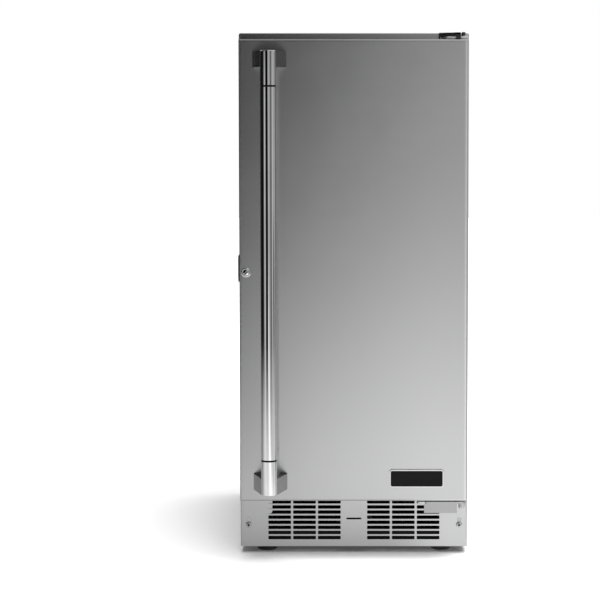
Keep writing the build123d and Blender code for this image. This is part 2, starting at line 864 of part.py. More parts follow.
def fin_block(width, y_span, z_span, fin_count, rows, plate_y, plate_z, reach):
    """Returns a coil: upright fins across its width, two ranks of tubes through them and two end plates."""
    fin_pitch = (width - 2 * end_plate) / (fin_count + 1)
    row_pitch = (z_span[1] - z_span[0]) / rows
    rank_pitch = (y_span[1] - y_span[0]) / 2
    y_middle = (y_span[0] + y_span[1]) / 2
    z_middle = (z_span[0] + z_span[1]) / 2
    row_heights = [z_span[0] + (row + 0.5) * row_pitch for row in range(rows)]
    plate_x = (width - end_plate) / 2
    end_x = width / 2 + reach
    pipe_radius = coil_tube_diameter / 2
    bend_radius = coil_bend_diameter / 2
    header_radius = coil_header_diameter / 2
    with BuildPart() as coil:
        with Locations((0, y_middle, z_middle)):
            with GridLocations(fin_pitch, 0, fin_count, 1):
                Box(fin_thickness, y_span[1] - y_span[0], z_span[1] - z_span[0])
        with Locations(*[(x, sum(plate_y) / 2, sum(plate_z) / 2) for x in (-plate_x, plate_x)]):
            Box(end_plate, plate_y[1] - plate_y[0], plate_z[1] - plate_z[0])
        tube_centres = [(0, y_middle + rank * rank_pitch / 2, z) for z in row_heights for rank in (-1, 1)]
        with Locations(*tube_centres):
            Cylinder(pipe_radius, 2 * end_x, rotation=(0, 90, 0))
        bend_centres = [(x, y_middle, z) for z in row_heights for x in (-end_x, end_x)]
        with Locations(*bend_centres):
            Cylinder(bend_radius, rank_pitch + bend_radius, rotation=(90, 0, 0))
        with Locations(*[(x, y_middle - rank_pitch / 2, z_middle) for x in (-end_x, end_x)]):
            Cylinder(header_radius, row_heights[-1] - row_heights[0] + bend_radius)
    return coil.part


# Condenser behind the kick plate
condenser_y = (case_front + condenser_setback, case_front + condenser_setback + condenser_depth)
condenser_z = (base_top + condenser_floor_gap, base_top + condenser_floor_gap + condenser_height)
with BuildPart() as condenser:
    add(
        fin_block(
            condenser_width,
            condenser_y,
            condenser_z,
            condenser_fins,
            coil_rows,
            condenser_y,
            (base_top, condenser_z[1]),
            coil_reach,
        )
    )
condenser.part.label = "condenser"
export_step(condenser.part, "parts/condenser.step")

# Shroud of the condenser fan, with a collar and three arms that carry the motor
fan_z = (base_top + deck_low) / 2
fan_radius = fan_diameter / 2
collar_radius = fan_radius + fan_tip_gap
shroud_y = condenser_y[1] + shroud_gap
collar_back = shroud_y + shroud_collar
motor_front = collar_back + moving_gap
motor_radius = motor_diameter / 2
with BuildPart() as fan_shroud:
    block(
        (-condenser_width / 2, condenser_width / 2),
        (shroud_y, shroud_y + shroud_sheet),
        (base_top, condenser_z[1]),
    )
    along_y(0, fan_z, shroud_y, collar_back, collar_radius + shroud_wall)
    along_y(0, fan_z, shroud_y, collar_back, collar_radius, Mode.SUBTRACT)
    along_y(0, fan_z, motor_front, motor_front + motor_arm, motor_radius + shroud_wall)
    with BuildSketch(Plane.XZ.offset(-motor_front)):
        with Locations((0, fan_z)):
            with PolarLocations((collar_radius + shroud_wall) / 2, 3, start_angle=90):
                Rectangle(collar_radius + shroud_wall, motor_arm)
    extrude(amount=-motor_arm)
    with BuildSketch(Plane.XZ.offset(-collar_back)):
        with Locations((0, fan_z)):
            with PolarLocations(collar_radius + shroud_wall / 2, 3, start_angle=90):
                Rectangle(shroud_wall, motor_arm)
    extrude(amount=-(moving_gap + motor_arm))
    along_y(0, fan_z, motor_front, motor_front + motor_arm, motor_radius + running_clearance, Mode.SUBTRACT)
fan_shroud.part.label = "fan_shroud"
export_step(fan_shroud.part, "parts/fan_shroud.step")


def fan_motor(z, front, length, shaft_depth):
    """Returns a round motor in the middle plane, whose bearing bore opens forwards."""
    with BuildPart() as motor:
        along_y(0, z, front, front + length, motor_radius)
        fillet(motor.edges().filter_by(GeomType.CIRCLE), motor_edge)
        bore = fan_shaft_diameter / 2 + running_clearance
        along_y(0, z, front, front + shaft_depth, bore, Mode.SUBTRACT)
    return motor.part


def fan_wheel(z, hub_front, diameter, shaft_end):
    """Returns a fan in the middle plane: pitched blades around a hub, with a shaft back to its motor."""
    hub_radius = fan_hub_diameter / 2
    hub_middle = hub_front + fan_hub_length / 2
    blade_length = diameter / 2 - hub_radius + blade_root
    with BuildPart() as wheel:
        along_y(0, z, hub_front, hub_front + fan_hub_length, hub_radius)
        fillet(wheel.edges().filter_by(GeomType.CIRCLE).sort_by(Axis.Y)[0], motor_edge)
        for number in range(blade_count):
            turn = math.radians(360 * number / blade_count)
            outward = Vector(math.cos(turn), 0, math.sin(turn))
            root = Vector(0, hub_middle, z) + outward * (hub_radius - blade_root)
            across = Vector(0, 1, 0).cross(outward)
            pitch = math.radians(blade_pitch)
            chord_direction = across * math.cos(pitch) + Vector(0, 1, 0) * math.sin(pitch)
            with Locations(Plane(origin=root, x_dir=chord_direction, z_dir=outward).location):
                Box(
                    blade_chord,
                    blade_thickness,
                    blade_length,
                    align=(Align.CENTER, Align.CENTER, Align.MIN),
                )
        along_y(0, z, hub_front, shaft_end, fan_shaft_diameter / 2)
    return wheel.part


# Motor and wheel of the condenser fan
with BuildPart() as condenser_fan_motor:
    add(fan_motor(fan_z, motor_front, motor_length, fan_shaft_length))
condenser_fan_motor.part.label = "condenser_fan_motor"
export_step(condenser_fan_motor.part, "parts/condenser_fan_motor.step")

fan_hub_front = motor_front - fan_hub_length - moving_gap
with BuildPart() as condenser_fan:
    add(fan_wheel(fan_z, fan_hub_front, fan_diameter, motor_front + fan_shaft_length - moving_gap))
condenser_fan.part.label = "condenser_fan"
export_step(condenser_fan.part, "parts/condenser_fan.step")

# Compressor: a sealed steel shell on a foot plate, with stubs for its two lines
compressor_y = case_back - compressor_setback
compressor_radius = compressor_diameter / 2
foot_plate_z = base_top + grommet_height
shell_z = foot_plate_z + compressor_plate
port_z = shell_z + port_height
suction_vector = Vector(-line_x - compressor_centre_x, line_y - compressor_y, 0).normalized()
discharge_vector = Vector(-1, -1, 0).normalized()
compressor_centre = Vector(compressor_centre_x, compressor_y, port_z)
suction_start = compressor_centre + suction_vector * (compressor_radius + suction_port_length)
discharge_start = compressor_centre + discharge_vector * (compressor_radius + port_length)
grommet_x = compressor_plate_width / 2 - grommet_inset
grommet_y = compressor_plate_depth / 2 - grommet_inset
with BuildPart() as compressor:
    block(
        (compressor_centre_x - compressor_plate_width / 2, compressor_centre_x + compressor_plate_width / 2),
        (compressor_y - compressor_plate_depth / 2, compressor_y + compressor_plate_depth / 2),
        (foot_plate_z, shell_z),
    )
    fillet(compressor.edges().filter_by(Axis.Z), grommet_inset)
    upright(compressor_centre_x, compressor_y, shell_z, shell_z + compressor_height, compressor_radius)
    dome_edge = compressor.edges().filter_by(GeomType.CIRCLE).sort_by(Axis.Z)[-1]
    fillet(dome_edge, compressor_dome)
    rod(tuple(compressor_centre), tuple(suction_start), port_diameter / 2)
    rod(tuple(compressor_centre), tuple(discharge_start), port_diameter / 2)
    with Locations((compressor_centre_x, compressor_y, shell_z + compressor_height / 2)):
        Cylinder(compressor_radius + seam_proud, seam_width)
compressor.part.label = "compressor"
export_step(compressor.part, "parts/compressor.step")

# Rubber mounts of the compressor
with BuildPart() as compressor_mounts:
    with Locations((compressor_centre_x, compressor_y, base_top)):
        with GridLocations(2 * grommet_x, 2 * grommet_y, 2, 2):
            Cylinder(grommet_diameter / 2, grommet_height, align=(Align.CENTER, Align.CENTER, Align.MIN))
    rim_edges = compressor_mounts.edges().filter_by(GeomType.CIRCLE).group_by(Axis.Z)[-1]
    chamfer(rim_edges, grommet_edge)
compressor_mounts.part.label = "compressor_mounts"
export_step(compressor_mounts.part, "parts/compressor_mounts.step")

# Evaporator on the back wall of the cold space
evaporator_y = (cavity_back - evaporator_back_gap - evaporator_depth, cavity_back - evaporator_back_gap)
evaporator_z = (evaporator_bottom, evaporator_bottom + evaporator_height)
with BuildPart() as evaporator:
    add(
        fin_block(
            evaporator_width,
            evaporator_y,
            evaporator_z,
            evaporator_fins,
            evaporator_rows,
            (evaporator_y[0], cavity_back),
            evaporator_z,
            evaporator_reach,
        )
    )
evaporator.part.label = "evaporator"
export_step(evaporator.part, "parts/evaporator.step")

# Refrigerant lines: discharge, liquid and suction
row_low = condenser_z[0] + condenser_height / coil_rows / 2
condenser_end_y = (condenser_y[0] + condenser_y[1]) / 2 + condenser_depth / 4
condenser_end_x = condenser_width / 2 + coil_reach + coil_tube_diameter / 2
side_x = half_width - line_side_gap
evaporator_end_x = evaporator_width / 2 + evaporator_reach + coil_tube_diameter / 2
evaporator_line_z = evaporator_bottom + evaporator_height / evaporator_rows / 2
tight_bend = line_bend / 4
half_bend = line_bend / 2
discharge_low = discharge_start + discharge_vector * line_start
drier_x = line_x
drier_y = bay_front + drier_setback
drier_top = drier_bottom + drier_length
with BuildPart() as refrigerant_lines:
    add(
        swept_line(
            [
                tuple(discharge_start),
                tuple(discharge_low),
                (discharge_low.X, discharge_low.Y, line_height),
                (-side_x, bay_front + line_start, line_height),
                (-side_x, condenser_end_y + line_rise, line_height),
                (-side_x, condenser_end_y, row_low + 2 * condenser_height / coil_rows),
                (-condenser_end_x, condenser_end_y, row_low + 2 * condenser_height / coil_rows),
            ],
            (line_bend, line_bend, line_bend, line_bend, half_bend),
            line_diameter,
        )
    )
    add(
        swept_line(
            [
                (condenser_end_x, condenser_end_y, row_low),
                (side_x, condenser_end_y, row_low),
                (side_x, condenser_end_y + line_rise, line_height),
                (side_x, drier_y - line_rise, line_height),
                (drier_x, drier_y, line_height),
                (drier_x, drier_y, drier_bottom),
            ],
            (half_bend, line_bend, line_bend, line_bend),
            line_diameter,
        )
    )
    add(
        swept_line(
            [
                (drier_x, drier_y, drier_top),
                (drier_x, drier_y, drier_top + line_rise),
                (line_x, line_y, drier_top + 2 * line_rise),
                (line_x, line_y, evaporator_line_z),
                (evaporator_end_x, line_y, evaporator_line_z),
            ],
            (line_bend, line_bend, tight_bend),
            line_diameter,
        )
    )
    add(
        swept_line(
            [
                (-evaporator_end_x, line_y, evaporator_line_z),
                (-line_x, line_y, evaporator_line_z),
                (-line_x, line_y, port_z),
                tuple(suction_start),
            ],
            (tight_bend, half_bend),
            line_diameter,
        )
    )
refrigerant_lines.part.label = "refrigerant_lines"
export_step(refrigerant_lines.part, "parts/refrigerant_lines.step")

# Filter drier in the liquid line
with BuildPart() as filter_drier:
    upright(drier_x, drier_y, drier_bottom, drier_top, drier_diameter / 2)
    fillet(filter_drier.edges().filter_by(GeomType.CIRCLE), drier_round)
filter_drier.part.label = "filter_drier"
export_step(filter_drier.part, "parts/filter_drier.step")

# Drain pan on the base and the tube that leads meltwater down to it
drain_pan_back = line_y + drain_pan_behind
drain_pan_x = (drain_pan_left, drain_pan_left + drain_pan_width)
with BuildPart() as drain_pan:
    drain_pan_y = (drain_pan_back - drain_pan_depth, drain_pan_back)
    block(drain_pan_x, drain_pan_y, (base_top, base_top + drain_pan_height))
    fillet(drain_pan.edges().filter_by(Axis.Z), drain_pan_corner)
    pan_mouth = drain_pan.faces().sort_by(Axis.Z)[-1]
    offset(amount=-drain_pan_wall, openings=pan_mouth)
drain_pan.part.label = "drain_pan"
export_step(drain_pan.part, "parts/drain_pan.step")

drain_end = base_top + drain_pan_height + drain_air_gap
with BuildPart() as drain_tube:
    upright(drain_x, line_y, drain_end, step_height, drain_diameter / 2)
    upright(drain_x, line_y, step_height, step_height + drain_flange, drain_flange_diameter / 2)
    bore = drain_diameter / 2 - drain_wall
    upright(drain_x, line_y, drain_end, step_height + drain_flange, bore, Mode.SUBTRACT)
drain_tube.part.label = "drain_tube"
export_step(drain_tube.part, "parts/drain_tube.step")

# Air duct cover in front of the evaporator, with fan slots near the top and intake slots near the bottom
duct_half = cavity_half - duct_side_gap
duct_bottom = step_height
duct_front = cavity_back - duct_depth
duct_top = cavity_top - duct_top_gap
duct_fan_radius = duct_fan_diameter / 2
with BuildPart() as duct_cover:
    block((-duct_half, duct_half), (duct_front, cavity_back), (duct_bottom, duct_top))
    fillet(duct_cover.faces().sort_by(Axis.Y)[0].edges().sort_by(Axis.Z)[1:], duct_edge)
    duct_mouths = [duct_cover.faces().sort_by(Axis.Y)[-1], duct_cover.faces().sort_by(Axis.Z)[0]]
    offset(amount=-duct_wall, openings=duct_mouths)
    with BuildSketch(Plane.XZ.offset(-duct_front)):
        for number in range(duct_slots):
            rise = (number - (duct_slots - 1) / 2) * duct_slot_pitch
            chord = 2 * math.sqrt(duct_fan_radius**2 - rise**2)
            with Locations((0, duct_fan_height + rise)):
                SlotOverall(chord, duct_slot_height)
        intake_z = duct_bottom + intake_height
        for side in (-1, 0, 1):
            with Locations((side * (intake_slot_length + duct_slot_pitch), intake_z)):
                with GridLocations(0, duct_slot_pitch, 1, intake_slots):
                    SlotOverall(intake_slot_length, duct_slot_height)
    extrude(amount=-duct_wall, mode=Mode.SUBTRACT)
duct_cover.part.label = "duct_cover"
export_step(duct_cover.part, "parts/duct_cover.step")

# Motor and wheel of the duct fan
duct_motor_back = cavity_back - duct_motor_plate
duct_motor_front = duct_motor_back - duct_motor_length
duct_shaft = duct_motor_length - shroud_wall
with BuildPart() as duct_fan_motor:
    add(fan_motor(duct_fan_height, duct_motor_front, duct_motor_length, duct_shaft))
    plate_half = duct_motor_plate_width / 2
    block(
        (-plate_half, plate_half),
        (duct_motor_back, cavity_back),
        (duct_fan_height - plate_half / 2, duct_fan_height + plate_half / 2),
    )
duct_fan_motor.part.label = "duct_fan_motor"
export_step(duct_fan_motor.part, "parts/duct_fan_motor.step")

duct_hub_front = duct_motor_front - moving_gap - fan_hub_length
with BuildPart() as duct_fan:
    add(
        fan_wheel(
            duct_fan_height,
            duct_hub_front,
            duct_fan_diameter - 2 * duct_fan_tip_gap,
            duct_motor_front + duct_shaft - moving_gap,
        )
    )
duct_fan.part.label = "duct_fan"
export_step(duct_fan.part, "parts/duct_fan.step")

# Racks on the side walls: a plate each side with level ribs that carry the shelves
rack_low = floor_height + rack_bottom_gap
rack_high = cavity_top - rack_top_gap
rack_front = case_front + rack_front_setback
rack_back = duct_front - shelf_back_gap
rack_step_back = step_front - shelf_back_gap
rib_count = int((rack_high - rack_low) // rib_pitch) + 1
rib_tops = [rack_low + number * rib_pitch + rib_height for number in range(rib_count)]
low_rib_tops = [top for top in rib_tops if top - rib_height < step_height + rack_bottom_gap]
high_rib_tops = [top for top in rib_tops if top - rib_height >= step_height + rack_bottom_gap]
with BuildPart() as shelf_racks:
    for side in (-1, 1):
        plate_x = sorted((side * cavity_half, side * (cavity_half - rack_wall)))
        rib_x = sorted((side * cavity_half, side * (cavity_half - rack_wall - rib_width)))
        block(plate_x, (rack_front, rack_step_back), (rack_low, rack_high))
        block(plate_x, (rack_step_back, rack_back), (step_height + rack_bottom_gap, rack_high))
        for tops, rib_back in ((low_rib_tops, rack_step_back), (high_rib_tops, rack_back)):
            rib_middle = (sum(rib_x) / 2, (rack_front + rib_back) / 2)
            with Locations(*[(*rib_middle, top - rib_height / 2) for top in tops]):
                Box(rib_x[1] - rib_x[0], rib_back - rack_front, rib_height)
shelf_racks.part.label = "shelf_racks"
export_step(shelf_racks.part, "parts/shelf_racks.step")

# Wire shelves: a welded frame with cross wires on top, each on its own pair of ribs
shelf_half = cavity_half - rack_wall - shelf_side_gap
frame_radius = frame_wire / 2
wire_radius = cross_wire / 2
shelf_front = case_front + shelf_front_setback
for name, rib_number in shelf_rib_numbers.items():
    frame_z = rib_tops[rib_number] + frame_radius
    low_shelf = rib_tops[rib_number] < step_height + rack_bottom_gap
    shelf_back = (step_front if low_shelf else duct_front) - shelf_back_gap
    with BuildPart() as shelf:
        with BuildLine() as frame_path:
            FilletPolyline(
                (shelf_half - frame_radius, shelf_front + frame_radius, frame_z),
                (shelf_half - frame_radius, shelf_back - frame_radius, frame_z),
                (-shelf_half + frame_radius, shelf_back - frame_radius, frame_z),
                (-shelf_half + frame_radius, shelf_front + frame_radius, frame_z),
                radius=frame_corner,
                close=True,
            )
        with BuildSketch(Plane(origin=frame_path.line @ 0, z_dir=frame_path.line % 0)):
            Circle(frame_radius)
        sweep(path=frame_path.line)
        wire_z = frame_z + frame_radius
        middle_y = (shelf_front + shelf_back) / 2
        with Locations((0, middle_y, wire_z)):
            with GridLocations(2 * shelf_half / (cross_wires + 1), 0, cross_wires, 1):
                Cylinder(wire_radius, shelf_back - shelf_front - frame_radius, rotation=(90, 0, 0))
        middle_z = wire_z - cross_wire + wire_weld
        brace_half = shelf_half - frame_radius
        rod((-brace_half, middle_y, middle_z), (brace_half, middle_y, middle_z), wire_radius)
    shelf.part.label = name
    export_step(shelf.part, f"parts/{name}.step")

# Control housing under the ceiling at the front
control_front = case_front + control_setback
control_back = control_front + control_depth
control_low = cavity_top - control_height
control_half = control_width / 2
control_middle_z = (control_low + cavity_top) / 2
button_radius = button_diameter / 2
with BuildPart() as control_housing:
    block((-control_half, control_half), (control_front, control_back), (control_low, cavity_top))
    fillet(control_housing.faces().sort_by(Axis.Z)[0].edges(), control_edge)
    offset(amount=-control_wall, openings=control_housing.faces().sort_by(Axis.Z)[-1])
    block(
        (-display_width / 2 - seat_gap, display_width / 2 + seat_gap),
        (control_front, control_front + control_wall),
        (control_middle_z - display_height / 2 - seat_gap, control_middle_z + display_height / 2 + seat_gap),
        Mode.SUBTRACT,
    )
    block(
        (-display_width / 2 - control_wall, display_width / 2 + control_wall),
        (control_front + display_thickness, control_front + display_thickness + control_wall),
        (control_low + control_wall, control_low + control_wall + display_ledge),
    )
    for x in button_places.values():
        button_hole = button_radius + running_clearance
        along_y(x, control_middle_z, control_front, control_front + control_wall, button_hole, Mode.SUBTRACT)
    lens_y = (control_front + control_depth / 2, control_front + control_depth / 2 + lens_depth)
    block(
        (-lens_width / 2 - seat_gap, lens_width / 2 + seat_gap),
        (lens_y[0] - seat_gap, lens_y[1] + seat_gap),
        (control_low, control_low + control_wall),
        Mode.SUBTRACT,
    )
control_housing.part.label = "control_housing"
export_step(control_housing.part, "parts/control_housing.step")

# Window of the temperature display
with BuildPart() as display_window:
    block(
        (-display_width / 2, display_width / 2),
        (control_front, control_front + display_thickness),
        (control_middle_z - display_height / 2, control_middle_z + display_height / 2),
    )
display_window.part.label = "display_window"
export_step(display_window.part, "parts/display_window.step")

# Lens of the interior light, with an edge that rests on the housing's floor
with BuildPart() as light_lens:
    block((-lens_width / 2, lens_width / 2), lens_y, (control_low - lens_proud, control_low + control_wall))
    fillet(light_lens.faces().sort_by(Axis.Z)[0].edges(), lens_proud / 2)
    block(
        (-lens_width / 2 - control_wall, lens_width / 2 + control_wall),
        (lens_y[0] - control_wall, lens_y[1] + control_wall),
        (control_low + control_wall, control_low + control_wall + lens_thickness),
    )
light_lens.part.label = "light_lens"
export_step(light_lens.part, "parts/light_lens.step")

# Control board that stands in the housing behind the buttons, with a switch for each
button_back = control_front - button_proud + button_length
switch_front = button_back + button_travel + moving_gap
board_y = (switch_front + control_wall, switch_front + control_wall + board_thickness)
with BuildPart() as control_board:
    block(
        (-control_half + board_inset, control_half - board_inset),
        board_y,
        (control_low + control_wall, cavity_top - control_wall),
    )
    for x in button_places.values():
        along_y(x, control_middle_z, switch_front, board_y[0], switch_diameter / 2)
control_board.part.label = "control_board"
export_step(control_board.part, "parts/control_board.step")

# Push buttons, each with a collar that keeps it in the housing
for name, x in button_places.items():
    with BuildPart() as button:
        along_y(x, control_middle_z, control_front - button_proud, button_back, button_radius)
        fillet(button.edges().filter_by(GeomType.CIRCLE).sort_by(Axis.Y)[0], button_round)
        collar_front = control_front + control_wall + seat_gap
        collar_back = collar_front + button_collar
        along_y(x, control_middle_z, collar_front, collar_back, button_radius + button_collar)
    button.part.label = name
    export_step(button.part, f"parts/{name}.step")

# Door skin: a folded stainless pan with its edges returned at the back
door_x = (-door_half, door_half)
door_z = (door_bottom, door_top)
bush_hole = bush_diameter / 2 + running_clearance
handle_screw_hole = handle_screw_diameter / 2 + running_clearance
with BuildPart() as door_skin:
    block(door_x, (door_front, door_back), door_z)
    fillet(door_skin.faces().sort_by(Axis.Y)[0].edges(), door_bend)
    offset(amount=-door_sheet, openings=door_skin.faces().sort_by(Axis.Y)[-1])
    back_span = (door_back - door_sheet, door_back)
    block(door_x, back_span, door_z)
    block(
        (-door_half + door_return, door_half - door_return),
        back_span,
        (door_bottom + door_return, door_top - door_return),
        Mode.SUBTRACT,
    )
    lock_hole = lock_body_diameter / 2 + running_clearance
    along_y(lock_x, lock_height, door_front, door_front + door_sheet, lock_hole, Mode.SUBTRACT)
    block((-door_half, -door_half + door_sheet), cam_slot_y, cam_slot_z, Mode.SUBTRACT)
    for z in handle_screws_z:
        along_y(handle_x, z, door_front, door_front + door_sheet, handle_screw_hole, Mode.SUBTRACT)
    upright(hinge_x, hinge_y, door_bottom, door_bottom + door_sheet, bush_hole, Mode.SUBTRACT)
    upright(hinge_x, hinge_y, door_top - door_sheet, door_top, bush_hole, Mode.SUBTRACT)
door_skin.part.label = "door_skin"
export_step(door_skin.part, "parts/door_skin.step")

# Door foam inside the skin and the dished liner, with pockets for the lock, the bushes and the handle screws
core_gap = door_sheet + foam_gap
with BuildPart() as door_foam:
    block(
        (-door_half + core_gap, door_half - core_gap),
        (door_front + core_gap, door_back - core_gap),
        (door_bottom + core_gap, door_top - core_gap),
    )
    fillet(door_foam.faces().sort_by(Axis.Y)[0].edges(), door_bend)
    neck = door_return + foam_gap
    block(
        (-door_half + neck, door_half - neck),
        (door_back - 2 * core_gap, door_back - foam_gap),
        (door_bottom + neck, door_top - neck),
    )
    plug_inset = liner_wall + foam_gap
    block(
        (-plug_half + plug_inset, plug_half - plug_inset),
        (door_back - 2 * core_gap, plug_back - plug_inset),
        (plug_low + plug_inset, plug_high - plug_inset),
    )
    block(
        (-door_half, lock_x + lock_body_diameter / 2 + foam_gap + cam_width),
        (door_front, cam_slot_y[1] + cam_boss),
        (lock_height - cam_reach - cam_boss, lock_height + cam_reach + foam_gap),
        Mode.SUBTRACT,
    )
    for z in (door_bottom, door_top):
        inward = 1 if z == door_bottom else -1
        pocket_end = z + inward * (bush_length + foam_gap)
        upright(hinge_x, hinge_y, z, pocket_end, bush_hole + foam_gap, Mode.SUBTRACT)
    for z in handle_screws_z:
        along_y(
            handle_x,
            z,
            door_front,
            door_front + door_sheet + handle_screw_head_height + foam_gap,
            handle_screw_head_diameter / 2 + foam_gap,
            Mode.SUBTRACT,
        )
door_foam.part.label = "door_foam"
export_step(door_foam.part, "parts/door_foam.step")

# Door liner: a flat rim behind the gasket and a dished plug that reaches into the cold space
with BuildPart() as door_liner:
    block(
        (-plug_half, plug_half),
        (door_back, plug_back),
        (plug_low, plug_high),
    )
    fillet(door_liner.faces().sort_by(Axis.Y)[-1].edges(), plug_edge)
    block(
        (-gasket_outer_half - liner_plate_margin, gasket_outer_half + liner_plate_margin),
        (door_back, door_back + liner_plate),
        (gasket_outer_low - liner_plate_margin, gasket_outer_high + liner_plate_margin),
    )
    block(
        (-plug_half + liner_wall, plug_half - liner_wall),
        (door_back, plug_back - liner_wall),
        (plug_low + liner_wall, plug_high - liner_wall),
        Mode.SUBTRACT,
    )
door_liner.part.label = "door_liner"
export_step(door_liner.part, "parts/door_liner.step")

# Gasket: a flat base on the liner's rim and a soft bulb that meets the cabinet's face
gasket_front = door_back + liner_plate
gasket_back = case_front - seat_gap
gasket_middle_z = (gasket_inner_low + gasket_inner_high) / 2
with BuildPart() as door_gasket:
    with BuildSketch(Plane.XZ.offset(-gasket_front)):
        with Locations((0, gasket_middle_z)):
            RectangleRounded(2 * gasket_outer_half, gasket_outer_high - gasket_outer_low, gasket_corner)
            Rectangle(2 * gasket_inner_half, gasket_inner_high - gasket_inner_low, mode=Mode.SUBTRACT)
    extrude(amount=-gasket_base)
    with BuildSketch(Plane.XZ.offset(-gasket_front - gasket_base)):
        with Locations((0, gasket_middle_z)):
            Rectangle(
                2 * (gasket_outer_half - bulb_inset), gasket_outer_high - gasket_outer_low - 2 * bulb_inset
            )
            Rectangle(
                2 * (gasket_inner_half + bulb_inset),
                gasket_inner_high - gasket_inner_low + 2 * bulb_inset,
                mode=Mode.SUBTRACT,
            )
    extrude(amount=-(gasket_back - gasket_front - gasket_base))
    fillet(door_gasket.faces().sort_by(Axis.Y)[-1].edges(), bulb_round)
door_gasket.part.label = "door_gasket"
export_step(door_gasket.part, "parts/door_gasket.step")

# Bushes of the door in which the hinge pins turn
with BuildPart() as hinge_bushes:
    for z, inward in ((door_bottom, 1), (door_top, -1)):
        upright(hinge_x, hinge_y, z, z + inward * bush_length, bush_diameter / 2)
        upright(hinge_x, hinge_y, z, z - inward * bush_flange, bush_flange_diameter / 2)
        upright(
            hinge_x,
            hinge_y,
            z - inward * bush_flange,
            z + inward * bush_length,
            pin_hole,
            Mode.SUBTRACT,
        )
hinge_bushes.part.label = "hinge_bushes"
export_step(hinge_bushes.part, "parts/hinge_bushes.step")

# Handle tube between the two end caps
ring_radius = tube_radius - ring_inset
tube_inside = tube_radius - tube_wall
spigot_radius = tube_inside - running_clearance
tube_low = handle_bottom + cap_length + ring_length
tube_high = handle_top - cap_length - ring_length
with BuildPart() as handle_tube:
    upright(handle_x, handle_y, tube_low, tube_high, tube_radius)
    upright(handle_x, handle_y, tube_low, tube_high, tube_inside, Mode.SUBTRACT)
handle_tube.part.label = "handle_tube"
export_step(handle_tube.part, "parts/handle_tube.step")

# End caps, each with a spigot that reaches through its ring into the tube
cap_spans = [(handle_bottom, handle_bottom + cap_length), (handle_top, handle_top - cap_length)]
with BuildPart() as handle_caps:
    for end, shoulder in cap_spans:
        inward = math.copysign(1, shoulder - end)
        upright(handle_x, handle_y, end, shoulder, tube_radius)
        upright(handle_x, handle_y, shoulder, shoulder + inward * spigot_length, spigot_radius)
    cap_edges = handle_caps.edges().filter_by(GeomType.CIRCLE).sort_by(Axis.Z)
    fillet([cap_edges[0], cap_edges[-1]], cap_round)
handle_caps.part.label = "handle_caps"
export_step(handle_caps.part, "parts/handle_caps.step")

# Black spacer rings between the caps and the tube
with BuildPart() as handle_rings:
    for end, shoulder in cap_spans:
        inward = math.copysign(1, shoulder - end)
        upright(handle_x, handle_y, shoulder, shoulder + inward * ring_length, ring_radius)
        upright(handle_x, handle_y, shoulder, shoulder + inward * ring_length, tube_inside, Mode.SUBTRACT)
handle_rings.part.label = "handle_rings"
export_step(handle_rings.part, "parts/handle_rings.step")

# Wedge shaped posts between the door and the caps
with BuildPart() as handle_posts:
    for low in (handle_bottom, handle_top - post_height):
        with BuildSketch(Plane.XY.offset(low)):
            with BuildLine():
                Polyline(
                    (handle_x - post_width / 2, door_front),
                    (handle_x + post_width / 2, door_front),
                    (handle_x + tube_radius, handle_y),
                    (handle_x - tube_radius, handle_y),
                    close=True,
                )
            make_face()
        extrude(amount=post_height)
    base_edges = handle_posts.edges().filter_by(Axis.Z).group_by(Axis.Y)[-1]
    fillet(base_edges, post_edge)
    upright(handle_x, handle_y, handle_bottom, handle_top, tube_radius + running_clearance, Mode.SUBTRACT)
    for z in handle_screws_z:
        along_y(
            handle_x,
            z,
            door_front,
            door_front + door_sheet - handle_screw_length,
            handle_screw_hole,
            Mode.SUBTRACT,
        )
handle_posts.part.label = "handle_posts"
export_step(handle_posts.part, "parts/handle_posts.step")

# Screws that hold the posts from inside the door
with BuildPart() as handle_screws:
    for z in handle_screws_z:
        seat = door_front + door_sheet
        along_y(handle_x, z, seat, seat + handle_screw_head_height, handle_screw_head_diameter / 2)
        along_y(handle_x, z, seat, seat - handle_screw_length + moving_gap, handle_screw_diameter / 2)
handle_screws.part.label = "handle_screws"
export_step(handle_screws.part, "parts/handle_screws.step")

# Badge place: a rounded frame with a bare inlay
badge_front = door_front - badge_thickness
with BuildPart() as badge_frame:
    with BuildSketch(Plane.XZ.offset(-door_front)):
        with Locations((badge_centre_x, badge_centre_z)):
            RectangleRounded(badge_width, badge_height, badge_corner)
    extrude(amount=badge_thickness)
    fillet(badge_frame.faces().sort_by(Axis.Y)[0].edges(), badge_edge)
    inlay_width = badge_width - 2 * badge_rim
    inlay_height = badge_height - 2 * badge_rim
    inlay_corner = badge_corner - badge_rim
    with BuildSketch(Plane.XZ.offset(-badge_front)):
        with Locations((badge_centre_x, badge_centre_z)):
            RectangleRounded(inlay_width, inlay_height, inlay_corner)
    extrude(amount=-badge_recess - inlay_thickness, mode=Mode.SUBTRACT)
badge_frame.part.label = "badge_frame"
export_step(badge_frame.part, "parts/badge_frame.step")

with BuildPart() as badge_inlay:
    with BuildSketch(Plane.XZ.offset(-badge_front - badge_recess - inlay_thickness)):
        with Locations((badge_centre_x, badge_centre_z)):
            RectangleRounded(inlay_width - seat_gap, inlay_height - seat_gap, inlay_corner - seat_gap / 2)
    extrude(amount=inlay_thickness)
badge_inlay.part.label = "badge_inlay"
export_step(badge_inlay.part, "parts/badge_inlay.step")

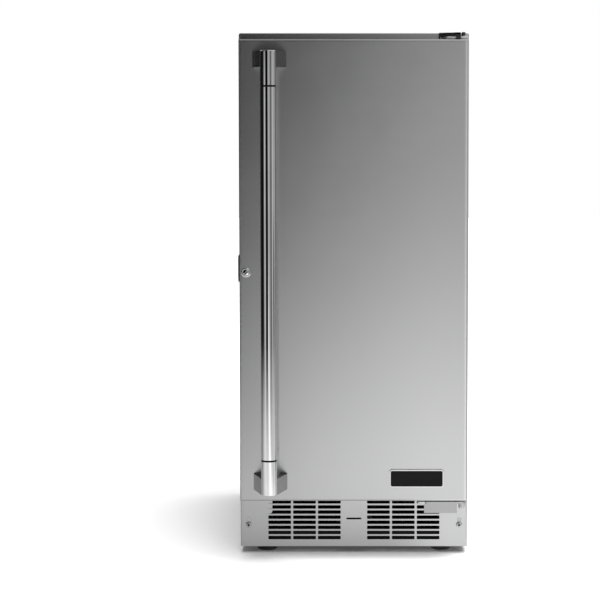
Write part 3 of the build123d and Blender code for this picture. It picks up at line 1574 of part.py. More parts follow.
# Lock housing: a flanged sleeve in the door's face
plug_radius = plug_diameter / 2
with BuildPart() as lock_housing:
    along_y(lock_x, lock_height, door_front - lock_flange_height, door_front, lock_flange_diameter / 2)
    flange_edge = lock_housing.edges().filter_by(GeomType.CIRCLE).sort_by(Axis.Y)[0]
    fillet(flange_edge, lock_flange_round)
    along_y(lock_x, lock_height, door_front, door_front + lock_body_length, lock_body_diameter / 2)
    along_y(
        lock_x,
        lock_height,
        door_front - lock_flange_height,
        door_front + lock_body_length,
        plug_radius + running_clearance,
        Mode.SUBTRACT,
    )
lock_housing.part.label = "lock_housing"
export_step(lock_housing.part, "parts/lock_housing.step")

# Lock plug with its key slot in front and a square end for the cam
plug_front = door_front - lock_flange_height - plug_proud
with BuildPart() as lock_plug:
    along_y(lock_x, lock_height, plug_front, cam_y[0], plug_radius)
    block(
        (lock_x - cam_boss / 2, lock_x + cam_boss / 2),
        (cam_y[0], cam_y[1] + cam_thickness / 2),
        (lock_height - cam_boss / 2, lock_height + cam_boss / 2),
    )
    block(
        (lock_x - key_slot_width / 2, lock_x + key_slot_width / 2),
        (plug_front, plug_front + key_slot_depth),
        (lock_height - key_slot_length / 2, lock_height + key_slot_length / 2),
        Mode.SUBTRACT,
    )
lock_plug.part.label = "lock_plug"
export_step(lock_plug.part, "parts/lock_plug.step")

# Lock cam, which hangs down when the door is unlocked
cam_straight = cam_reach - cam_width / 2
with BuildPart() as lock_cam:
    with BuildSketch(Plane.XZ.offset(-cam_y[0])):
        with Locations((lock_x, lock_height)):
            Circle(cam_hub_diameter / 2)
        with Locations((lock_x, lock_height - cam_straight / 2)):
            Rectangle(cam_width, cam_straight)
        with Locations((lock_x, lock_height - cam_straight)):
            Circle(cam_width / 2)
        with Locations((lock_x, lock_height)):
            Rectangle(cam_boss + 2 * running_clearance, cam_boss + 2 * running_clearance, mode=Mode.SUBTRACT)
    extrude(amount=-cam_thickness)
lock_cam.part.label = "lock_cam"
export_step(lock_cam.part, "parts/lock_cam.step")
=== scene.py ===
import json
import math

import bmesh
import bpy
import numpy as np
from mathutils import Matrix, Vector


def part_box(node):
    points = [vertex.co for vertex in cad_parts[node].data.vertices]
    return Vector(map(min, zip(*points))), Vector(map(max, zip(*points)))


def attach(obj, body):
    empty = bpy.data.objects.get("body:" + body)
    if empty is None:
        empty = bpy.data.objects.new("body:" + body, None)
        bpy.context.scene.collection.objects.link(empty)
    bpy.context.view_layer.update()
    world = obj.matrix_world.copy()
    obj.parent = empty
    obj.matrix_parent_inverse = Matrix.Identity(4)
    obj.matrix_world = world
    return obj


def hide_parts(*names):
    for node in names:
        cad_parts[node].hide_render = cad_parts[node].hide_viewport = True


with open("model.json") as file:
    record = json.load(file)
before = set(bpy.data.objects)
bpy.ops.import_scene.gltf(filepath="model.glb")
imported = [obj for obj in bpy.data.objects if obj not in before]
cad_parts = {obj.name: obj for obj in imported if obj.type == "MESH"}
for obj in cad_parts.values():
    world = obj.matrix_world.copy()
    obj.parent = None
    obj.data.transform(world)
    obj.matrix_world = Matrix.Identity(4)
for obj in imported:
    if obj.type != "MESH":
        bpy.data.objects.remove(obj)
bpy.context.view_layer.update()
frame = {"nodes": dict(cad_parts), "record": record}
scene = bpy.context.scene
scene.view_settings.view_transform = "Standard"

MM = 0.001

# The door's front face, in metres
DOOR_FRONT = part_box("door_skin")[0].y


# Camera

CAMERA_HEIGHT = 0.7142
CAMERA_DISTANCE = 3.30
CAMERA_SIDE = 0.0078
FOCAL_PIXELS = 2032.6
FRAME_PIXELS = 600.0
SENSOR_WIDTH = 36.0
PITCH_DOWN = math.radians(4.006)
SHIFT_RIGHT = -0.0976
SHIFT_UP = -0.055


def add_camera():
    """Stands the camera in front of the door, a little below the height of the top, and tilts it down."""
    data = bpy.data.cameras.new("camera")
    data.sensor_width = SENSOR_WIDTH
    data.lens = FOCAL_PIXELS / FRAME_PIXELS * SENSOR_WIDTH
    data.shift_x = SHIFT_RIGHT
    data.shift_y = SHIFT_UP
    camera = bpy.data.objects.new("camera", data)
    camera.location = (CAMERA_SIDE, DOOR_FRONT - CAMERA_DISTANCE, CAMERA_HEIGHT)
    camera.rotation_euler = (math.pi / 2 - PITCH_DOWN, 0.0, 0.0)
    scene.collection.objects.link(camera)
    scene.camera = camera


add_camera()


# Shader nodes


def node(tree, kind, inputs=None, **settings):
    """Adds a shader node. inputs pairs a socket's name or number with a value or with an output."""
    made = tree.nodes.new(kind)
    for name, value in settings.items():
        setattr(made, name, value)
    for socket, value in (inputs or {}).items():
        if isinstance(value, bpy.types.NodeSocket):
            tree.links.new(value, made.inputs[socket])
        else:
            made.inputs[socket].default_value = value
    return made


def maths(tree, operation, *values):
    """Adds a Math node and returns its output."""
    return node(tree, "ShaderNodeMath", dict(enumerate(values)), operation=operation).outputs[0]


def times(tree, first, second):
    """Multiplies two values and returns the product."""
    return maths(tree, "MULTIPLY", first, second)


def object_place(tree):
    """Where a point lies in its piece, in metres."""
    return node(tree, "ShaderNodeTexCoord").outputs["Object"]


def axes(tree, vector):
    """The X, Y and Z of a vector."""
    return node(tree, "ShaderNodeSeparateXYZ", {0: vector}).outputs


def scaled(tree, value, low, high):
    """Maps a value from 0..1 to low..high and returns the result."""
    return node(tree, "ShaderNodeMapRange", {"Value": value, "To Min": low, "To Max": high}).outputs["Result"]


def scaled_from(tree, value, low, high, rise="LINEAR"):
    """Maps a value from low..high to 0..1 and returns the result."""
    ends = {"Value": value, "From Min": low, "From Max": high}
    return node(tree, "ShaderNodeMapRange", ends, interpolation_type=rise).outputs["Result"]


def smooth_step(tree, value, low, high):
    """Rises smoothly from 0 at low to 1 at high. Each end is a number or an output."""
    return scaled_from(tree, value, low, high, "SMOOTHSTEP")


def blend_values(tree, amount, first, second):
    """Mixes two values by an amount and returns the result."""
    return node(tree, "ShaderNodeMix", {"Factor": amount, 2: first, 3: second}).outputs[0]


def eased_between(tree, value, low, high, first, second):
    """Goes smoothly from first to second while a value goes from low to high."""
    return blend_values(tree, smooth_step(tree, value, low, high), first, second)


def colour_between(tree, amount, first, second):
    """Mixes two colours by an amount. Each is three numbers or an output."""
    first, second = (
        colour if isinstance(colour, bpy.types.NodeSocket) else (*colour, 1.0) for colour in (first, second)
    )
    return node(tree, "ShaderNodeMix", {"Factor": amount, 6: first, 7: second}, data_type="RGBA").outputs[2]


def new_group(name, inputs, outputs):
    """Makes a shader node group with float inputs and outputs, and returns it with its two ends."""
    group = bpy.data.node_groups.new(name, "ShaderNodeTree")
    for label, value in inputs.items():
        socket = group.interface.new_socket(label, in_out="INPUT", socket_type="NodeSocketFloat")
        socket.default_value = value
    for label in outputs:
        group.interface.new_socket(label, in_out="OUTPUT", socket_type="NodeSocketFloat")
    return group, group.nodes.new("NodeGroupInput").outputs, group.nodes.new("NodeGroupOutput").inputs


# A face looks along an axis when its normal's share of that axis is above this.
SQUARE_ON = 0.7
# The broad streaks of the grain, counted in fine ones
BROAD_STREAK_LENGTH, BROAD_STREAK_WIDTH = 3.0, 14.0


def brushed_grain():
    """Straight level grain: noise stretched along X, or along Y on faces that look along X."""
    sizes = {"Length": 0.06, "Width": 0.0004}
    group, given, result = new_group("brushed grain", sizes, ("Height", "Streak"))
    coordinates = node(group, "ShaderNodeTexCoord").outputs
    place = axes(group, coordinates["Object"])
    aside = maths(group, "ABSOLUTE", axes(group, coordinates["Normal"])["X"])
    side = maths(group, "GREATER_THAN", aside, SQUARE_ON)
    along = blend_values(group, side, place["X"], place["Y"])
    across = blend_values(group, side, place["Y"], place["X"])
    fine = grain_noise(group, along, across, place["Z"], given["Length"], given["Width"], 2.0)
    broad_length = times(group, given["Length"], BROAD_STREAK_LENGTH)
    broad_width = times(group, given["Width"], BROAD_STREAK_WIDTH)
    broad = grain_noise(group, along, across, place["Z"], broad_length, broad_width, 3.0)
    group.links.new(fine, result["Height"])
    group.links.new(blend_values(group, 0.5, fine, broad), result["Streak"])
    return group


def grain_noise(group, along, across, up, length, width, detail):
    """Noise at a place whose three coordinates are counted in streak lengths and widths."""
    pairs = ((along, length), (across, width), (up, width))
    counted = [maths(group, "DIVIDE", distance, size) for distance, size in pairs]
    place = node(group, "ShaderNodeCombineXYZ", dict(enumerate(counted))).outputs[0]
    return node(group, "ShaderNodeTexNoise", {"Vector": place, "Scale": 1.0, "Detail": detail}).outputs["Fac"]


def cloudy_marks():
    """Large soft patches, as handling and cleaning leave on metal. Size is the patches' size in metres."""
    group, given, result = new_group("cloudy marks", {"Size": 0.12}, ("Mask",))
    scale = maths(group, "DIVIDE", 1.0, given["Size"])
    patches = {"Vector": object_place(group), "Scale": scale}
    patches |= {"Detail": 4.0, "Roughness": 0.6, "Distortion": 0.4}
    noise = node(group, "ShaderNodeTexNoise", patches).outputs["Fac"]
    group.links.new(smooth_step(group, noise, 0.35, 0.65), result["Mask"])
    return group


def moulded_skin():
    """The fine pebble of moulded plastic, paint and castings. Size is the pebbles' size in metres."""
    group, given, result = new_group("moulded skin", {"Size": 0.0008}, ("Height", "Mask"))
    place = object_place(group)
    scale = maths(group, "DIVIDE", 1.0, given["Size"])
    cells = node(group, "ShaderNodeTexVoronoi", {"Vector": place, "Scale": scale}, feature="SMOOTH_F1")
    blotches = {"Vector": place, "Scale": times(group, scale, 0.25), "Detail": 5.0}
    noise = node(group, "ShaderNodeTexNoise", blotches)
    group.links.new(cells.outputs["Distance"], result["Height"])
    group.links.new(noise.outputs["Fac"], result["Mask"])
    return group


def settled_dust():
    """A thin uneven layer of dust on faces that look up."""
    group, given, result = new_group("settled dust", {"Amount": 0.5}, ("Mask",))
    coordinates = node(group, "ShaderNodeTexCoord").outputs
    specks = {"Vector": coordinates["Object"], "Scale": 45.0, "Detail": 6.0, "Roughness": 0.7}
    noise = node(group, "ShaderNodeTexNoise", specks).outputs["Fac"]
    upward = scaled_from(group, axes(group, coordinates["Normal"])["Z"], 0.5, 1.0)
    layer = times(group, upward, scaled(group, noise, 0.35, 1.0))
    group.links.new(times(group, layer, given["Amount"]), result["Mask"])
    return group


GRAIN = brushed_grain()
MARKS = cloudy_marks()
SKIN = moulded_skin()
DUST = settled_dust()
DUST_COLOUR = (0.36, 0.33, 0.29)


def place_group(tree, group, **values):
    """Places a shared effect in a material with that material's own values and returns its outputs."""
    return node(tree, "ShaderNodeGroup", values, node_tree=group).outputs


def cloudiness(tree, size):
    """Places cloudy marks of a size, in metres, in a material and returns their mask."""
    return place_group(tree, MARKS, Size=size)["Mask"]


def dress_shader(tree, shader, colour, gloss, height=None, strength=0.0, depth=0.0):
    """Feeds a shader its colour and roughness, and the bumps of a height that stands for depth in metres."""
    tree.links.new(colour, shader["Base Color"])
    tree.links.new(gloss, shader["Roughness"])
    if height:
        bump = node(tree, "ShaderNodeBump", {"Height": height, "Strength": strength, "Distance": depth})
        tree.links.new(bump.outputs["Normal"], shader["Normal"])


def new_material(name, constants=None):
    """Makes a material with the given constants and returns it with its tree and its shader's inputs."""
    material = bpy.data.materials.new(name)
    material.use_nodes = True
    shader = next(n for n in material.node_tree.nodes if n.type == "BSDF_PRINCIPLED").inputs
    for socket, value in (constants or {}).items():
        shader[socket].default_value = value
    return material, material.node_tree, shader


def grain_direction(tree):
    """The way the grain runs: round the upright axis, but along X on faces that look up or down."""
    facing = node(tree, "ShaderNodeTexCoord").outputs["Normal"]
    upright = node(tree, "ShaderNodeTangent", direction_type="RADIAL", axis="Z").outputs[0]
    level = node(tree, "ShaderNodeTangent", direction_type="RADIAL", axis="Y").outputs[0]
    flat = maths(tree, "GREATER_THAN", maths(tree, "ABSOLUTE", axes(tree, facing)["Z"]), SQUARE_ON)
    return node(tree, "ShaderNodeMix", {"Factor": flat, 4: upright, 5: level}, data_type="VECTOR").outputs[1]


# Finishes

# In every finish, colours run from dark to light, roughness from smooth to rough, and sizes are in metres.
METAL = {"Metallic": 1.0}
STEEL_DARK, STEEL_LIGHT = (0.585, 0.585, 0.585), (0.625, 0.627, 0.63)


def brushed_steel(name, grain_length=0.02, grain_width=0.0003, dark=STEEL_DARK, light=STEEL_LIGHT):
    """Stainless sheet with a level brushed grain, which spreads its reflections upright."""
    brushing = {"Metallic": 1.0, "Anisotropic": 0.88, "Anisotropic Rotation": 0.25}
    material, tree, shader = new_material(name, brushing)
    grain = place_group(tree, GRAIN, Length=grain_length, Width=grain_width)
    marks = cloudiness(tree, 0.16)
    tree.links.new(grain_direction(tree), shader["Tangent"])
    tint = maths(tree, "MULTIPLY_ADD", grain["Streak"], 0.7, times(tree, marks, 0.3))
    gloss = maths(tree, "MULTIPLY_ADD", marks, 0.012, scaled(tree, grain["Streak"], 0.185, 0.215))
    dress_shader(tree, shader, colour_between(tree, tint, dark, light), gloss, grain["Height"], 0.12, 0.00002)
    return material


def bright_metal(name, dark, light, smooth, rough, mark_size=0.05):
    """Polished or plated metal, with faint cloudy marks in its gloss."""
    material, tree, shader = new_material(name, METAL)
    marks = cloudiness(tree, mark_size)
    ripple = place_group(tree, SKIN, Size=0.004)["Mask"]
    gloss = scaled(tree, marks, smooth, rough)
    dress_shader(tree, shader, colour_between(tree, marks, dark, light), gloss, ripple, 0.05, 0.00005)
    return material


def cast_metal(name, dark, light, smooth, rough):
    """Cast and plated metal with a fine pebble."""
    material, tree, shader = new_material(name, METAL)
    skin = place_group(tree, SKIN, Size=0.0007)
    gloss = scaled(tree, cloudiness(tree, 0.03), smooth, rough)
    colour = colour_between(tree, skin["Mask"], dark, light)
    dress_shader(tree, shader, colour, gloss, skin["Height"], 0.25, 0.00004)
    return material


def moulded(name, dark, light, smooth, rough, pebble=0.0008, depth=0.00003, dust=0.0, gleam=0.5):
    """Moulded plastic, rubber or paint with a fine pebble and, where it looks up, a little dust."""
    material, tree, shader = new_material(name, {"Specular IOR Level": gleam})
    skin = place_group(tree, SKIN, Size=pebble)
    colour = colour_between(tree, skin["Mask"], dark, light)
    gloss = scaled(tree, skin["Mask"], smooth, rough)
    if dust:
        layer = place_group(tree, DUST, Amount=dust)["Mask"]
        colour = colour_between(tree, layer, colour, DUST_COLOUR)
        gloss = maths(tree, "MAXIMUM", gloss, layer)
    dress_shader(tree, shader, colour, gloss, skin["Height"], 0.3, depth)
    return material


def galvanised_sheet():
    """Zinc coated sheet with its pale spangle."""
    material, tree, shader = new_material("galvanised", METAL)
    cells = node(tree, "ShaderNodeTexVoronoi", {"Vector": object_place(tree), "Scale": 130.0})
    tone = node(tree, "ShaderNodeSeparateColor", {0: cells.outputs["Color"]}).outputs[0]
    marks = cloudiness(tree, 0.2)
    colour = colour_between(tree, tone, (0.46, 0.47, 0.48), (0.60, 0.61, 0.62))
    gloss = maths(tree, "MULTIPLY_ADD", marks, 0.06, scaled(tree, tone, 0.36, 0.46))
    dress_shader(tree, shader, colour, gloss, tone, 0.08, 0.00005)
    return material


def insulation_foam():
    """Poured foam: pale yellow, with closed cells."""
    material, tree, shader = new_material("foam")
    cells = {"Vector": object_place(tree), "Scale": 900.0}
    hollow = node(tree, "ShaderNodeTexVoronoi", cells).outputs["Distance"]
    marks = cloudiness(tree, 0.05)
    colour = colour_between(tree, marks, (0.80, 0.71, 0.45), (0.87, 0.80, 0.58))
    dress_shader(tree, shader, colour, scaled(tree, marks, 0.85, 0.95), hollow, 0.5, 0.0004)
    return material


def smoked_window():
    """The dark glossy window of the display."""
    material, tree, shader = new_material("dark acrylic", {"Coat Weight": 0.5})
    marks = cloudiness(tree, 0.02)
    colour = colour_between(tree, marks, (0.012, 0.012, 0.014), (0.02, 0.02, 0.024))
    dress_shader(tree, shader, colour, scaled(tree, marks, 0.05, 0.10))
    return material


def lamp_lens():
    """The frosted lens of the interior lamp, ribbed across."""
    material, tree, shader = new_material("frosted lens", {"Subsurface Weight": 0.2})
    waves = {"Vector": object_place(tree), "Scale": 95.0}
    ribs = node(tree, "ShaderNodeTexWave", waves, wave_type="BANDS", bands_direction="X").outputs["Fac"]
    colour = colour_between(tree, ribs, (0.84, 0.85, 0.84), (0.93, 0.94, 0.93))
    dress_shader(tree, shader, colour, scaled(tree, ribs, 0.35, 0.45), ribs, 0.6, 0.0006)
    return material


def circuit_board():
    """Green lacquered board with paler tracks."""
    material, tree, shader = new_material("circuit board")
    cells = {"Vector": object_place(tree), "Scale": 260.0}
    tracks = node(tree, "ShaderNodeTexVoronoi", cells, distance="MANHATTAN").outputs["Distance"]
    path = maths(tree, "GREATER_THAN", tracks, 0.55)
    colour = colour_between(tree, path, (0.012, 0.10, 0.035), (0.03, 0.22, 0.08))
    dress_shader(tree, shader, colour, scaled(tree, tracks, 0.3, 0.45), path, 0.3, 0.00004)
    return material


def pale_zinc():
    """Dull bright zinc, which scatters part of the light like a pale paint."""
    material, tree, shader = new_material("pale zinc", {"Metallic": 0.6})
    skin = place_group(tree, SKIN, Size=0.0009)
    marks = cloudiness(tree, 0.02)
    colour = colour_between(tree, marks, (0.50, 0.505, 0.51), (0.57, 0.575, 0.58))
    dress_shader(tree, shader, colour, scaled(tree, skin["Mask"], 0.30, 0.42), skin["Height"], 0.2, 0.00003)
    return material


FINISHES = {
    "stainless": brushed_steel("stainless", 0.07, 0.00035),
    "hinge_steel": brushed_steel("hinge steel"),
    "chrome": bright_metal("chrome", (0.80, 0.80, 0.805), (0.85, 0.85, 0.855), 0.045, 0.075),
    "shelf_wire": bright_metal("plated wire", (0.66, 0.66, 0.68), (0.74, 0.74, 0.76), 0.14, 0.22, 0.01),
    "copper": bright_metal("copper", (0.56, 0.27, 0.17), (0.70, 0.38, 0.26), 0.22, 0.36, 0.015),
    "coil_aluminium": bright_metal("aluminium", (0.55, 0.56, 0.57), (0.66, 0.67, 0.68), 0.28, 0.40, 0.02),
    "screw_steel": bright_metal("screw steel", (0.56, 0.56, 0.57), (0.64, 0.64, 0.65), 0.18, 0.28, 0.004),
    "satin_zinc": cast_metal("satin zinc", (0.34, 0.34, 0.345), (0.40, 0.40, 0.405), 0.20, 0.27),
    "galvanised": galvanised_sheet(),
    "foam": insulation_foam(),
    "circuit_board": circuit_board(),
    "dark_acrylic": smoked_window(),
    "frosted_lens": lamp_lens(),
}
# Moulded, rubber and painted finishes: dark and light colour, smooth and rough, and what else differs
MOULDED_FINISHES = {
    "black_plastic": ((0.014, 0.014, 0.015), (0.024, 0.024, 0.025), 0.42, 0.55, {"dust": 0.25}),
    "badge_black": (
        (0.004, 0.004, 0.0045),
        (0.007, 0.007, 0.0075),
        0.30,
        0.40,
        {"pebble": 0.004, "depth": 0.00002, "gleam": 0.12},
    ),
    "black_paint": ((0.012,) * 3, (0.022,) * 3, 0.32, 0.44, {"pebble": 0.0014, "dust": 0.4}),
    "white_plastic": (
        (0.80, 0.80, 0.79),
        (0.84, 0.84, 0.83),
        0.30,
        0.38,
        {"pebble": 0.0012, "depth": 0.00004},
    ),
    "control_plastic": ((0.62, 0.63, 0.64), (0.67, 0.68, 0.69), 0.38, 0.46, {}),
    "button_plastic": ((0.10, 0.105, 0.11), (0.13, 0.135, 0.14), 0.35, 0.45, {}),
    "gasket_rubber": ((0.16, 0.16, 0.165), (0.20, 0.20, 0.205), 0.50, 0.62, {"pebble": 0.0006}),
    "black_rubber": ((0.012,) * 3, (0.022,) * 3, 0.65, 0.80, {"dust": 0.4}),
    "nylon": ((0.68, 0.68, 0.63), (0.74, 0.74, 0.69), 0.40, 0.50, {}),
}
for finish_name, (*look, others) in MOULDED_FINISHES.items():
    FINISHES[finish_name] = moulded(finish_name.replace("_", " "), *look, **others)


# The base's bare corner posts lie in front of and outside these, in metres.
POST_FRONT, POST_INSIDE = -0.212, 0.1515


def painted_base():
    """Black painted sheet whose front corner posts are left bare."""
    material, tree, shader = new_material("painted base", {"Specular IOR Level": 0.12})
    skin = place_group(tree, SKIN, Size=0.0014)
    layer = place_group(tree, DUST, Amount=0.12)["Mask"]
    place = axes(tree, object_place(tree))
    ahead = maths(tree, "LESS_THAN", place["Y"], POST_FRONT)
    outside = maths(tree, "GREATER_THAN", maths(tree, "ABSOLUTE", place["X"]), POST_INSIDE)
    bare = times(tree, ahead, outside)
    paint = colour_between(tree, skin["Mask"], (0.006, 0.006, 0.006), (0.012, 0.012, 0.012))
    sheet = colour_between(tree, skin["Mask"], (0.60, 0.60, 0.61), (0.66, 0.66, 0.67))
    colour = colour_between(tree, bare, colour_between(tree, layer, paint, DUST_COLOUR), sheet)
    gloss = maths(tree, "MAXIMUM", scaled(tree, skin["Mask"], 0.34, 0.44), layer)
    tree.links.new(times(tree, bare, 0.3), shader["Metallic"])
    dress_shader(tree, shader, colour, gloss, skin["Height"], 0.3, 0.00003)
    return material


# Nodes whose finish differs a little from the rest of their slot
PALE_ZINC = pale_zinc()
OWN_FINISHES = {
    "base_pan": painted_base(),
    # The lower hinge plate's steel is darker than the rest: painted shade from the door above it.
    "lower_hinge_bracket": brushed_steel("hinge plate with painted shade", dark=(0.42, 0.42, 0.425), light=(0.46, 0.46, 0.465)),
    "handle_rings": moulded("ring rubber", (0.003,) * 3, (0.006,) * 3, 0.50, 0.60, gleam=0.15),
    "badge_frame": bright_metal("badge rim", (0.60, 0.60, 0.605), (0.66, 0.66, 0.665), 0.16, 0.22, 0.02),
}


def dress_cad_nodes():
    """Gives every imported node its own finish, or else the finish of its material slot."""
    for part in frame["record"]["subparts"]:
        finish = OWN_FINISHES.get(part["node"], FINISHES[part["material_slot"]])
        for slot in frame["nodes"][part["node"]].material_slots:
            slot.material = finish


dress_cad_nodes()


# Surfaces. Shapes are worked out in millimetres, as a pair of points and faces.

TURN = 2 * np.pi
# Points nearer than this, in metres, are one, and edges that bend more than this are sharp.
DOUBLES = 2e-6
SHARP = math.radians(38)
# Rows of a facing say where a shape's own x, y and z point: z is the way it looks.
UPWARD = np.eye(3)
FORWARD = np.array([[1.0, 0.0, 0.0], [0.0, 0.0, 1.0], [0.0, -1.0, 0.0]])
BACKWARD = np.array([[-1.0, 0.0, 0.0], [0.0, 0.0, 1.0], [0.0, 1.0, 0.0]])
RIGHTWARD = np.array([[0.0, 1.0, 0.0], [0.0, 0.0, 1.0], [1.0, 0.0, 0.0]])


def closed_rows(rows, ends=True):
    """A surface through rows that are closed loops. If ends is set, a face covers the first and last row."""
    count, sides = rows.shape[:2]
    index = np.arange(count * sides).reshape(count, sides)
    low, high = index[:-1], index[1:]
    faces = np.stack((low, np.roll(low, -1, 1), np.roll(high, -1, 1), high), axis=-1).reshape(-1, 4).tolist()
    if ends:
        faces += [index[0].tolist(), index[-1].tolist()]
    return rows.reshape(-1, 3), faces


def placed(shape, facing, origin):
    """Turns a shape to a facing and moves it to its origin."""
    points, faces = shape
    return points @ facing + np.asarray(origin, float), faces


def gathered(shapes):
    """Joins several shapes into one list of points and one of faces."""
    starts = np.cumsum([0] + [len(points) for points, _ in shapes])
    faces = [[start + corner for corner in face] for start, (_, some) in zip(starts, shapes) for face in some]
    return np.concatenate([points for points, _ in shapes]), faces


def add_piece(name, body, slot, shapes, stands_for=(), edge=0.0, finish=None):
    """Makes a piece of shapes, merges its doubles, turns its faces outwards, and puts it on a body."""
    points, faces = gathered(shapes)
    mesh = bpy.data.meshes.new(name)
    mesh.from_pydata((points * MM).tolist(), [], faces)
    shape = bmesh.new()
    shape.from_mesh(mesh)
    bmesh.ops.remove_doubles(shape, verts=shape.verts, dist=DOUBLES)
    bmesh.ops.recalc_face_normals(shape, faces=shape.faces)
    shape.to_mesh(mesh)
    shape.free()
    mesh.shade_smooth()
    mesh.set_sharp_from_angle(angle=SHARP)
    mesh.materials.append(finish or FINISHES[slot])
    piece = bpy.data.objects.new(name, mesh)
    scene.collection.objects.link(piece)
    if edge:
        bevel = piece.modifiers.new("edge", "BEVEL")
        bevel.width = edge * MM
        bevel.segments = 2
        bevel.limit_method = "ANGLE"
        bevel.angle_limit = SHARP
    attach(piece, body)
    if stands_for:
        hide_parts(*stands_for)
    return piece


def eased(corners, ease, steps=4, closed=True):
    """A line whose corners become short parabolas, which start and end the ease away from the corner."""
    corners = np.asarray(corners, float)
    ease = np.broadcast_to(np.asarray(ease, float), (len(corners),))[:, None]
    back = np.roll(corners, 1, axis=0) - corners
    ahead = np.roll(corners, -1, axis=0) - corners
    start = corners + back * ease / np.linalg.norm(back, axis=1, keepdims=True)
    end = corners + ahead * ease / np.linalg.norm(ahead, axis=1, keepdims=True)
    if not closed:
        start[0] = end[0] = corners[0]
        start[-1] = end[-1] = corners[-1]
    step = np.linspace(0.0, 1.0, steps + 1)[None, :, None]
    bent = (1 - step) ** 2 * start[:, None] + 2 * step * (1 - step) * corners[:, None]
    bent += step**2 * end[:, None]
    return bent.reshape(-1, corners.shape[1])


def rectangle(left, right, low, high):
    """The corners of a rectangle: left low, right low, right high and left high."""
    return [(left, low), (right, low), (right, high), (left, high)]


def prism(outline, low, high):
    """An outline carried straight up from low to high."""
    outline = np.asarray(outline, float)
    rows = [np.column_stack((outline, np.full(len(outline), level))) for level in (low, high)]
    return closed_rows(np.stack(rows))


def turned(profile, sides=48):
    """A profile of radius and height turned round: x and y are radius times cosine and sine of the angle."""
    return uneven_turned([(np.full(sides, float(radius)), height) for radius, height in profile])


def turned_ring(section, sides):
    """A closed section of radius and height turned round, with its hole through the middle."""
    section = np.concatenate((section, section[:1]))
    return uneven_turned([(np.full(sides, radius), height) for radius, height in section], ends=False)


def uneven_turned(profile, ends=True):
    """As turned, but each radius is an array, one value for each of the angles round the shape."""
    reach = np.stack([radius for radius, _ in profile])
    angle = np.linspace(0.0, TURN, reach.shape[1], endpoint=False)
    height = np.broadcast_to(np.array([level for _, level in profile])[:, None], reach.shape)
    return closed_rows(np.stack((reach * np.cos(angle), reach * np.sin(angle), height), axis=-1), ends)


def blocks(centres, size):
    """Many equal blocks, each given by its middle: its corners are the middle plus or minus half the size."""
    signs = np.array([[x, y, z] for z in (-1, 1) for x, y in ((-1, -1), (1, -1), (1, 1), (-1, 1))])
    centres = np.asarray(centres, float)
    points = (centres[:, None] + signs * np.asarray(size, float) / 2).reshape(-1, 3)
    sides = np.array([(3, 2, 1, 0), (4, 5, 6, 7), (0, 1, 5, 4), (1, 2, 6, 5), (2, 3, 7, 6), (3, 0, 4, 7)])
    faces = sides + 8 * np.arange(len(centres))[:, None, None]
    return points, faces.reshape(-1, 4).tolist()


def pipe_bend(centre, outward, aside, bend_radius, pipe_radius, steps=12, sides=14):
    """A half turn of pipe: rings of its radius round a half circle that runs from aside past outward."""
    outward, aside = np.asarray(outward, float), np.asarray(aside, float)
    turn = np.linspace(0.0, np.pi, steps + 1)[:, None]
    radial = np.cos(turn) * aside + np.sin(turn) * outward
    ring = np.linspace(0.0, TURN, sides, endpoint=False)[None, :, None]
    reach = bend_radius + pipe_radius * np.cos(ring)
    across = np.cross(outward, aside) * pipe_radius * np.sin(ring)
    return closed_rows(np.asarray(centre, float) + radial[:, None] * reach + across)


# Fasteners

# The recess reaches this share of the head's radius, its arms are this wide, and its floor this much smaller.
RECESS_SHARE, CROSS_ARM, RECESS_TAPER = 0.5, 0.42, 0.62
# Keeps a division by zero away
NEARLY_ZERO = 1e-9
# Shares of the head's radius at which its dome has a point
DOME_SHARES = (0.6, 0.72, 0.82, 0.90, 0.95, 0.98, 1.0)


def reach_of_bar(angle, half_length, half_width):
    """How far a lying bar reaches at each angle from its middle."""
    across, up = np.abs(np.cos(angle)) + NEARLY_ZERO, np.abs(np.sin(angle)) + NEARLY_ZERO
    return np.minimum(half_length / across, half_width / up)


def cross_reach(angle, length):
    """How far a cross reaches at each angle: the farther of a lying and a standing bar."""
    width = length * CROSS_ARM
    return np.maximum(reach_of_bar(angle, length, width), reach_of_bar(angle, width, length))


def screw(head_radius, head_height, shank_radius, length, sides=48):
    """A domed head with a cross recess, on a shank: the dome falls with the eighth power of the radius."""
    angle = np.linspace(0.0, TURN, sides, endpoint=False)
    cross = cross_reach(angle, head_radius * RECESS_SHARE)
    floor = -head_height * 0.2
    profile = [(cross * 0.0, floor), (cross * RECESS_TAPER, floor), (cross, head_height)]
    dome = [(head_radius * share, head_height * (1 - share**8) ** 0.5) for share in DOME_SHARES]
    shank = [(shank_radius, 0.0), (shank_radius, 1 - length), (shank_radius * 0.5, -length), (0.0, -length)]
    profile += [(np.full(sides, radius), level) for radius, level in dome + shank]
    return uneven_turned(profile)


def recess_shade_plug(head_radius, head_height, sides=48):
    """A black plug that fills the lower half of a cross recess: painted shade in the recess."""
    cross = cross_reach(np.linspace(0.0, TURN, sides, endpoint=False), head_radius * RECESS_SHARE)
    levels = ((0.0, -0.1), (RECESS_TAPER, -0.1), (0.85, 0.55), (0.0, 0.45))
    return uneven_turned([(cross * share, head_height * level) for share, level in levels])


SCREW_HEAD_RADIUS, SCREW_HEAD_HEIGHT = 5.2, 2.0
SCREW_SHANK_RADIUS, SCREW_LENGTH = 2.4, 9.0
HINGE_SCREW_HEAD_RADIUS = 3.7
KICK_SCREW_X, KICK_SCREW_Z = 175.5, 48.0
STRIKE_SCREW_X = -179.1
STRIKE_SCREWS_Z = (465.0, 494.0)
REAR_SCREW_X = 182.0
REAR_SCREWS_Z = (25.5, 154.25, 283.0, 319.0, 579.5, 840.0)
CASE_FRONT, CASE_BACK = -217.65, 335.85
STRIKE_SHEET, HINGE_SHEET = 1.2, 3.2


